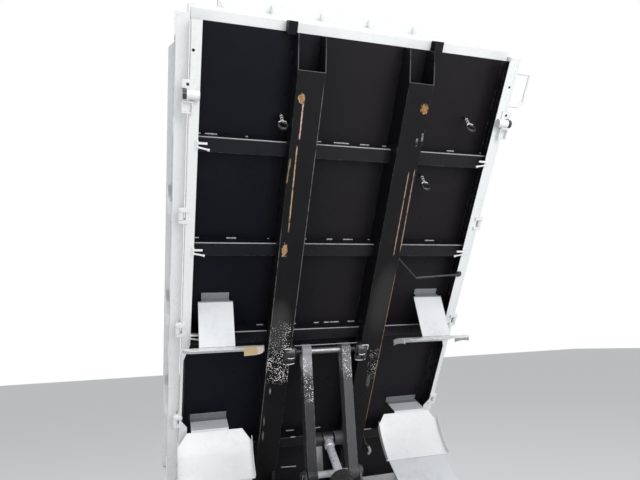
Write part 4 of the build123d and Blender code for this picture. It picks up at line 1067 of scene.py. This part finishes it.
@dataclass
class Underside:
    """Welds below the floor, and pale bars along folds and edges that are painted highlights."""

    sink: float = 0.001
    bead: float = 0.0045
    pitch: float = 0.0046
    bearer_seed: int = 11
    sill_seed: int = 23
    sill_start: float = 0.18
    sill_margin: float = 0.1
    sill_stitch: float = 0.05
    sill_pitch: float = 0.295
    fold_gap: float = 0.002
    fold_lift: float = 0.003
    bright_radius: float = 0.0036
    dim_radius: float = 0.003
    rear_highlight_radius: float = 0.0034
    front_radius: float = 0.0021
    front_lift: float = 0.0005
    front_back: float = 0.004
    rear_highlight_spans: tuple[Span, ...] = ((-0.134, -0.1), (0.418, 0.48), (-0.443, -0.41))
    tail_seam_highlight: tuple[Span, ...] = ((0.018, -0.154), (0.01, -0.04))
    stitches: tuple[tuple[Span, ...], ...] = (
        ((-0.88, -0.872), (-0.842, -0.836), (-0.808, -0.751), (-0.594, -0.587), (-0.191, -0.173),
         (-0.09, -0.005), (0.07, 0.119), (0.208, 0.228), (0.392, 0.398), (0.636, 0.679), (0.872, 0.879)),
        ((-0.839, -0.823), (-0.66, -0.612), (-0.421, -0.415), (-0.193, -0.187), (-0.051, -0.019),
         (0.055, 0.113), (0.223, 0.229), (0.625, 0.684)),
        ((-0.435, -0.4), (-0.199, -0.186), (-0.057, -0.029), (0.013, 0.041), (0.054, 0.111), (0.18, 0.22)),
        ((-0.8, -0.75), (-0.15, -0.1), (0.05, 0.1), (0.62, 0.68)),
    )

    def build(self) -> None:
        """Make the welds and the painted highlights along the folds and edges."""
        self._bearer_welds()
        self._sill_welds()
        self._folds()
        self._sill_fronts()

    def _bearer_welds(self) -> None:
        """Lay the short uneven welds ahead of every cross bearer."""
        depth = BED.underside - self.sink
        paths = [
            [(front + self.sink, start, depth), (front + self.sink, end, depth)]
            for front, spans in zip(BED.bearer_fronts, self.stitches) for start, end in spans
        ]
        beads = WeldPattern(self.pitch, self.bead, self.bearer_seed, WELD).run(paths_mesh(paths))
        on_bed("bearer_stitch_welds", beads, WELD)

    def _sill_welds(self) -> None:
        """Lay the broken welds between the sills and the floor."""
        paths = []
        depth = BED.underside - self.sink
        for sign in (1, -1):
            for edge in (BED.sill_inner - self.sink, BED.sill_outer + self.sink):
                x = BED.rear + self.sill_start
                while x < BED.front - self.sill_margin:
                    paths.append([(x, sign * edge, depth), (x + self.sill_stitch, sign * edge, depth)])
                    x += self.sill_pitch
        beads = WeldPattern(self.pitch, self.bead, self.sill_seed, UNDERBODY).run(paths_mesh(paths))
        on_bed("sill_stitch_welds", beads, UNDERBODY)

    def _folds(self) -> None:
        """Lay a painted highlight along each bearer's lower front fold, dimmer on the rear bearer, and
        painted highlights on the rear bearer's edge and on a floor seam.
        """
        inner, outer = BED.sill_inner - self.fold_gap, BED.sill_outer + self.fold_gap
        end = BED.rail_web - self.fold_gap
        height = BED.bearer_low + self.fold_lift
        folds = [[[(front - self.fold_gap, low, height), (front - self.fold_gap, high, height)]
                  for low, high in ((-inner, inner), (outer, end), (-end, -outer))]
                 for front in BED.bearer_fronts]
        bright = [line for lines in folds[:-1] for line in lines]
        lay_bars("bearer_fold_highlights", bright, self.bright_radius, FOLD_HIGHLIGHT)
        rear = BED.bearer_fronts[-1] + self.sink
        # Painted highlights on the rear bearer's lower edge and along a floor seam behind it.
        worn_and_lit_edges = [[(rear, start, height), (rear, stop, height)] for start, stop in self.rear_highlight_spans]
        worn_and_lit_edges.append([(x, y, BED.underside - self.sink) for x, y in self.tail_seam_highlight])
        lay_bars("rear_edge_highlights", worn_and_lit_edges, self.rear_highlight_radius, GLINT)
        lay_bars("rear_bearer_fold_highlights", folds[-1], self.dim_radius, DIM_FOLD_HIGHLIGHT)

    def _sill_fronts(self) -> None:
        """Lay dim painted highlights along the edges round each sill's open front end."""
        lines = []
        low, lip = BED.sill_bottom + self.front_lift, BED.sill_lip + self.sink
        front = BED.front - self.front_back
        for sign in (1, -1):
            inner, outer = sign * (BED.sill_inner + self.sink), sign * (BED.sill_outer - self.sink)
            cut = [(BED.sill_cut, inner, low), (BED.sill_cut, outer, low)]
            lines.append([(front, inner, lip), *cut, (front, outer, lip)])
        lay_bars("sill_front_highlights", lines, self.front_radius, DIM_FOLD_HIGHLIGHT)


@dataclass(frozen=True)
class Bow:
    """A painted highlight that bows rearward, from a bearing's centre."""

    along: float
    swell: float
    beside: float
    step: float


@dataclass
class ShaftBearings:
    """The two bolted bearings that carry the hoist shaft below the sills."""

    pad_x: Span = (-0.066, 0.047)
    pad_y: Span = (0.2, 0.283)
    pad_z: Span = (-0.01, 0.001)
    pad_round: float = 0.003
    collar_y: float = 0.241
    collar: Outline = (
        (-0.031, 0.021), (-0.031, 0.05), (-0.024, 0.056), (0.024, 0.056), (0.031, 0.05), (0.031, 0.021))
    bolts_x: Span = (-0.052, 0.034)
    bolt_y: float = 0.262
    bolt_drop: float = 0.014
    bolt: Outline = ((-0.006, 0.002), (-0.006, 0.012), (0.006, 0.012), (0.006, 0.002))
    glint_radius: float = 0.003
    glint_depth: float = 0.009
    glint_front: float = 0.046
    glint_span: Span = (0.236, 0.281)
    side_glint_y: float = 0.282
    side_glint_end: float = 0.01
    bow_points: int = 7
    pad_bow: Bow = Bow(-0.064, 0.006, 0.207, 0.012)
    pad_bow_depth: float = 0.01
    collar_bow: Bow = Bow(-0.006, 0.005, 0.218, 0.007)
    collar_bow_drop: float = 0.0555
    shaft_highlight_place: Span = (0.048, -0.004)
    shaft_highlight_reach: float = 0.214
    shaft_highlight_radius: float = 0.0024

    def build(self) -> None:
        """Make the bearings, the painted highlights on their edges, and a thin pale bar across the shaft
        between them that is a painted highlight.
        """
        x, z = BED.shaft
        low = BED.sill_bottom
        irons, glints = [], []
        for sign in (1, -1):
            irons += self._bearing(sign)
            glints += self._glints(sign)
        depth = low - self.glint_depth
        ends = (self.glint_front, self.side_glint_end)
        glints.append([(x + along, self.side_glint_y, depth) for along in ends])
        on_bed("hoist_shaft_bearings", join_meshes(irons), GLOSS_BLACK)
        lay_bars("hoist_bearing_highlights", glints, self.glint_radius, GLINT)
        # A thin pale bar across the shaft between the bearings: a painted highlight.
        along, drop = self.shaft_highlight_place
        shaft_highlight = [(x + along, side * self.shaft_highlight_reach, z + drop) for side in (-1, 1)]
        lay_bars("shaft_highlight_line", [shaft_highlight], self.shaft_highlight_radius, FOLD_HIGHLIGHT)

    def _bearing(self, sign: int) -> list[bpy.types.Mesh]:
        """Make one side's pad, collar and bolts.

        Args:
            sign: 1 for the left side and -1 for the right.

        Returns:
            Their meshes.
        """
        x, z = BED.shaft
        low = BED.sill_bottom
        near, far = sorted(sign * y for y in self.pad_y)
        made = [
            bevelled_box((x + self.pad_x[0], near, low + self.pad_z[0]),
                         (x + self.pad_x[1], far, low + self.pad_z[1]), self.pad_round),
            ring((x, sign * self.collar_y, z), (0.0, float(sign), 0.0), self.collar),
        ]
        for along in self.bolts_x:
            place = (x + along, sign * self.bolt_y, low - self.bolt_drop)
            made.append(ring(place, UPRIGHT, self.bolt, HEXAGON))
        return made

    def _glints(self, sign: int) -> list[list[Point]]:
        """Draw one side's painted highlights, on the pad's front and rear and on the collar.

        Args:
            sign: 1 for the left side and -1 for the right.

        Returns:
            Their lines.
        """
        x, z = BED.shaft
        low = BED.sill_bottom
        lines = [[(x + self.glint_front, sign * y, low - self.glint_depth) for y in self.glint_span]]
        half = (self.bow_points - 1) / 2
        heights = (low - self.pad_bow_depth, z - self.collar_bow_drop)
        for bow, height in zip((self.pad_bow, self.collar_bow), heights):
            line = []
            for step in range(self.bow_points):
                along = x + bow.along - bow.swell * (1 - (step / half - 1) ** 2)
                line.append((along, sign * (bow.beside + bow.step * step), height))
            lines.append(line)
        return lines


@dataclass
class HangingHooks:
    """The three loose hooks below the floor, with round bars, nuts and thick rings."""

    places: tuple[Span, ...] = ((2.583, -0.418), (2.290, 0.487), (2.655, 0.7))
    lean: float = math.radians(30.0)
    lug_drop: float = 0.024
    lug_radius: float = 0.0085
    shank: Span = (-0.006, 0.062)
    shank_radius: float = 0.0065
    ring_drop: float = 0.085
    ring_radius: float = 0.0245
    ring_steps: int = 24
    bar_sides: int = 14
    nut_drops: tuple[float, ...] = (0.012, 0.03, 0.048)
    nut: Outline = ((-0.003, 0.005), (-0.003, 0.0095), (0.003, 0.0095), (0.003, 0.005))
    glint_radius: float = 0.0035
    glint_ring: float = 0.0265
    glint_stand: float = 0.0075
    glint_steps: tuple[int, int] = (9, 17)
    glint_sides: int = 8

    def build(self) -> None:
        """Draw the hooks in place of the plainer solid ones."""
        bars, nuts = [], []
        for x, y in self.places:
            bars += self._bars(Vector((x, y, BED.underside)))
            nuts += self._nuts_and_highlight(Vector((x, y, BED.underside)))
        hooks = on_bed("hanging_hook_rings", join_meshes(bars), GLOSS_BLACK)
        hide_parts("hanging_hooks")
        on_bed("hanging_hook_nut_highlights", join_meshes(nuts), GLINT)

    @property
    def _way(self) -> Vector:
        """Return the way that the hooks hang while the bed is raised."""
        return Vector((-math.sin(self.lean), 0.0, -math.cos(self.lean)))

    def _arc(self, centre: Vector, radius: float, steps: range) -> list[Point]:
        """Draw part of a hook's ring.

        Args:
            centre: The ring's centre.
            radius: Its radius.
            steps: Which steps of the whole turn to draw.

        Returns:
            The line.
        """
        line = []
        for step in steps:
            turn = step / self.ring_steps * 2 * math.pi
            aside = Vector((0.0, radius * math.sin(turn), 0.0))
            line.append(tuple(centre + self._way * (radius * math.cos(turn)) + aside))
        return line

    def _bars(self, top: Vector) -> list[bpy.types.Mesh]:
        """Make one hook's lug, shank and ring.

        Args:
            top: Where it is fixed below the floor.

        Returns:
            Their meshes.
        """
        lug = top - Vector((0.0, 0.0, self.lug_drop))
        shank = [tuple(lug + self._way * drop) for drop in self.shank]
        whole = self._arc(lug + self._way * self.ring_drop, self.ring_radius, range(self.ring_steps + 1))
        lines = (([tuple(top), tuple(lug)], self.lug_radius), (shank, self.shank_radius),
                 (whole, self.lug_radius))
        return [BarPattern(radius, GLOSS_BLACK, self.bar_sides).run(paths_mesh([line]))
                for line, radius in lines]

    def _nuts_and_highlight(self, top: Vector) -> list[bpy.types.Mesh]:
        """Make one hook's nuts, painted bright as highlights, and a painted highlight along one side of its
        ring.

        Args:
            top: Where it is fixed below the floor.

        Returns:
            Their meshes.
        """
        lug = top - Vector((0.0, 0.0, self.lug_drop))
        made = [ring(tuple(lug + self._way * drop), tuple(self._way), self.nut, HEXAGON)
                for drop in self.nut_drops]
        stand = Vector((math.cos(self.lean), 0.0, -math.sin(self.lean))) * self.glint_stand
        # A pale arc beside the ring: a painted highlight.
        worn = self._arc(lug + self._way * self.ring_drop + stand, self.glint_ring, range(*self.glint_steps))
        made.append(BarPattern(self.glint_radius, GLINT, self.glint_sides).run(paths_mesh([worn])))
        return made


@dataclass
class Hardware:
    """Bolts, pins, rest strips and other small ironwork."""

    shear_x: tuple[float, ...] = (0.29, 0.37, 2.26, 2.34)
    shear_y: float = 0.351
    shear_z: Span = (0.035, 0.085)
    bolt_radius: float = 0.012
    web_low: Point = (0.507, -0.1035, 0.345)
    web_high: Point = (0.513, -0.04, 0.505)
    web_round: float = 0.0015
    pin_place: Point = (2.704, 0.9095, 0.2272)
    pin: Outline = ((-0.0012, 0.0), (-0.0012, 0.0072), (0.0006, 0.0072), (0.0006, 0.0))
    pin_sides: int = 20
    strip_gap: Span = (1.048, 1.188)
    strip_round: float = 0.002
    tab_faces: Span = (1.3385, 1.3345)
    tab: Outline = ((-0.573, -0.017), (-0.476, -0.015), (-0.467, -0.028), (-0.467, -0.05), (-0.475, -0.07),
                    (-0.492, -0.082), (-0.522, -0.089), (-0.583, -0.093))
    hook: tuple[Point, ...] = (
        (0.33, 0.41, 0.268), (0.3, 0.425, 0.25), (0.262, 0.44, 0.247), (0.225, 0.472, 0.243),
        (0.18, 0.492, 0.24), (0.145, 0.485, 0.243))
    hook_radius: float = 0.009
    hook_tip_radius: float = 0.0098
    hook_tip_points: int = 3

    def build(self) -> None:
        """Make every small piece."""
        self._shear_bolts()
        web = bevelled_box(self.web_low, self.web_high, self.web_round)
        finish_mesh("arm_web", web, BARE_PLATE, Body.ARMS)
        x, y, z = self.pin_place
        pins = [ring((x, sign * y, z), UPRIGHT, self.pin, self.pin_sides) for sign in (1, -1)]
        on_bed("keeper_pins", join_meshes(pins), GLOSS_BLACK)
        self._rest_strips()
        self._guard_tab()
        lay_bars("bearer_hook", [smooth_line(self.hook)], self.hook_radius, GLOSS_BLACK)
        # The hook's tip in the glint finish: a painted highlight.
        tip = smooth_line(self.hook[-self.hook_tip_points:])
        lay_bars("bearer_hook_tip_highlight", [tip], self.hook_tip_radius, GLINT)

    def _shear_bolts(self) -> None:
        """Make the bolts that hold the shear plates to the subframe."""
        places = [
            ((x, sign * self.shear_y, z), (0.0, float(sign), 0.0))
            for x in self.shear_x for sign in (1, -1) for z in self.shear_z
        ]
        made = BoltPattern(self.bolt_radius, ZINC).run(points_mesh(places))
        finish_mesh("shear_plate_bolts", made, ZINC, Body.SUBFRAME)

    def _guard_tab(self) -> None:
        """Make the bare tab below the inner end of the right front mudguard's lip."""
        shape = bmesh.new()
        front, back = ([shape.verts.new((x, y, z)) for y, z in self.tab] for x in self.tab_faces)
        shape.faces.new(front)
        shape.faces.new(back[::-1])
        for k in range(len(self.tab)):
            shape.faces.new((front[k - 1], back[k - 1], back[k], front[k]))
        on_bed("mudguard_lip_tab", mesh_of(shape), BARE_TAB)

    def _rest_strips(self) -> None:
        """Make the rest strips with a gap that clears the hoist shaft's bearings."""
        for side in SIDES:
            low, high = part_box(f"rest_strip_{side}")
            lengths = ((low.x, self.strip_gap[0]), (self.strip_gap[1], high.x))
            boxes = [bevelled_box((start, low.y, low.z), (end, high.y, high.z), self.strip_round)
                     for start, end in lengths]
            whole = join_meshes(boxes)
            strip = finish_mesh(f"rest_strip_{side}_cut", whole, STRIP, Body.SUBFRAME)
            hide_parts(f"rest_strip_{side}")


@dataclass
class Dressing:
    """Which finish each solid of the frame wears."""

    finishes: dict[str, PaintFinish] = field(default_factory=lambda: {
        "floor_plate": UNDERBODY, "cross_bearers": BEARER_BLACK, "tail_beam": WHITE, "headboard": WHITE,
        "guard_frame": WHITE, "hoist_shaft": SHAFT_STEEL, "rope_hooks": WHITE, "hanging_hooks": GLOSS_BLACK,
        "cross_tie": GLOSS_BLACK, "tailgate": WHITE, "tailgate_catches": WHITE,
        "subframe_crossmembers": SUBFRAME_BLACK, "hinge_brackets": SUBFRAME_BLACK, "hinge_pins": STEEL,
        "shear_plates": SUBFRAME_BLACK, "link_bracket": SUBFRAME_BLACK, "cylinder_bracket": SUBFRAME_BLACK,
        "lift_arms": ARM_BLACK, "tension_link": ARM_BLACK, "cylinder_barrel": SUBFRAME_BLACK,
        "cylinder_rod": CHROME, "gate_handle_left": WHITE,
    })
    sided: dict[str, PaintFinish] = field(default_factory=lambda: {
        "side_rail": RAIL_WHITE, "sill": SILL_BLACK, "front_stop": UNDERBODY, "rear_post": WHITE,
        "hinge_ear": SILL_BLACK, "side_gate": WHITE, "gate_hinge_lugs": WHITE, "gate_keeper": KEEPER_WHITE,
        "front_mudguard": GUARD_WHITE, "rear_mudguard": WHITE,
        "front_mudguard_stay": STAY_GREY, "rear_mudguard_stay": STAY_GREY, "mud_flap": FLAP,
        "subframe_rail": SUBFRAME_BLACK, "rest_strip": STRIP,
    })

    def build(self) -> None:
        """Give every solid its material."""
        wanted = dict(self.finishes)
        for stem, finish in self.sided.items():
            for side in SIDES:
                wanted[f"{stem}_{side}"] = finish
        for name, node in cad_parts.items():
            finish = wanted[name]
            material = finish.material()
            if not node.material_slots:
                node.data.materials.append(material)
            for place in node.material_slots:
                place.material = material
            LOG.info("dressed %s in %s", name, finish.name)


@dataclass(frozen=True)
class Lamp:
    """One wide soft lamp."""

    name: str
    place: Point
    aim: Point
    size: float
    power: float


@dataclass
class Stage:
    """The pale floor, the soft light and the camera."""

    ground: float = -0.62
    floor_reach: float = 40.0
    floor_colour: Colour = (0.72, 0.72, 0.71)
    floor_roughness: float = 0.9
    lamps: tuple[Lamp, ...] = (
        Lamp("sky_lamp", (1.5, -2.0, 6.5), (0.6, 0.0, 1.0), 6.0, 205.0),
        Lamp("front_lamp", (7.5, 1.5, 2.6), (0.8, 0.0, 1.3), 5.0, 262.0),
    )
    sky_colour: Colour = (0.93, 0.96, 1.0)
    sky_strength: float = 0.66
    place: Point = (3.7898, -1.0302, 1.1202)
    right: Point = (0.29401, 0.95444, -0.05100)
    down: Point = (-0.20596, 0.01118, -0.97851)
    ahead: Point = (-0.93336, 0.29822, 0.19983)
    lens: float = 28.84
    sensor: float = 36.0
    far_clip: float = 200.0

    def build(self) -> None:
        """Make the floor, the lamps, the world and the camera."""
        self._floor()
        self._lamps()
        self._world()
        self._camera()

    def _floor(self) -> None:
        """Lay a large pale floor."""
        mesh = bpy.data.meshes.new("floor")
        corners = ((-1, -1), (1, -1), (1, 1), (-1, 1))
        mesh.from_pydata([(x * self.floor_reach, y * self.floor_reach, self.ground) for x, y in corners],
                         [], [(0, 1, 2, 3)])
        floor = bpy.data.objects.new("floor", mesh)
        bpy.context.scene.collection.objects.link(floor)
        made = bpy.data.materials.new("pale_floor")
        made.use_nodes = True
        shader = made.node_tree.nodes["Principled BSDF"]
        shader.inputs["Base Color"].default_value = (*self.floor_colour, 1.0)
        shader.inputs["Roughness"].default_value = self.floor_roughness
        mesh.materials.append(made)

    def _lamps(self) -> None:
        """Hang the lamps, one high and one behind the camera."""
        for lamp in self.lamps:
            light = bpy.data.lights.new(lamp.name, "AREA")
            light.shape = "SQUARE"
            light.size = lamp.size
            light.energy = lamp.power
            hung = bpy.data.objects.new(lamp.name, light)
            hung.location = lamp.place
            way = Vector(lamp.aim) - Vector(lamp.place)
            hung.rotation_euler = way.to_track_quat("-Z", "Y").to_euler()
            bpy.context.scene.collection.objects.link(hung)

    def _world(self) -> None:
        """Light evenly from all round, and show white behind the object."""
        world = bpy.data.worlds.new("soft_sky")
        bpy.context.scene.world = world
        world.use_nodes = True
        graph = Graph(world.node_tree)
        world.node_tree.nodes.clear()
        rays = graph.add("ShaderNodeLightPath")
        shown = graph.math("MAXIMUM", rays.outputs["Is Camera Ray"], rays.outputs["Is Glossy Ray"])
        shown = graph.math("MAXIMUM", shown, rays.outputs["Is Transmission Ray"])
        sky = {"Color": (*self.sky_colour, 1.0), "Strength": self.sky_strength}
        soft = graph.add("ShaderNodeBackground", sky)
        white = graph.add("ShaderNodeBackground", {"Color": (1.0, 1.0, 1.0, 1.0), "Strength": 1.0})
        both = graph.add("ShaderNodeMixShader", {0: shown, 1: soft.outputs[0], 2: white.outputs[0]})
        graph.add("ShaderNodeOutputWorld", {0: both.outputs[0]})

    def _camera(self) -> None:
        """Stand the camera where the photograph was taken."""
        data = bpy.data.cameras.new("camera")
        data.sensor_fit = "HORIZONTAL"
        data.sensor_width = self.sensor
        data.lens = self.lens
        data.clip_end = self.far_clip
        camera = bpy.data.objects.new("camera", data)
        turn = Matrix((self.right, [-v for v in self.down], [-v for v in self.ahead])).transposed().to_4x4()
        camera.matrix_world = Matrix.Translation(self.place) @ turn
        bpy.context.scene.collection.objects.link(camera)
        bpy.context.scene.camera = camera


def main() -> None:
    """Build every sub-assembly in order."""
    logging.basicConfig(level=logging.INFO, format="%(message)s")
    bpy.context.scene.view_settings.view_transform = "Standard"
    for part in (Dressing(), Underside(), ShaftBearings(), HangingHooks(), Hardware(), Stage()):
        part.build()
        LOG.info("finished %s", type(part).__name__)


if __name__ == "__main__":
    main()
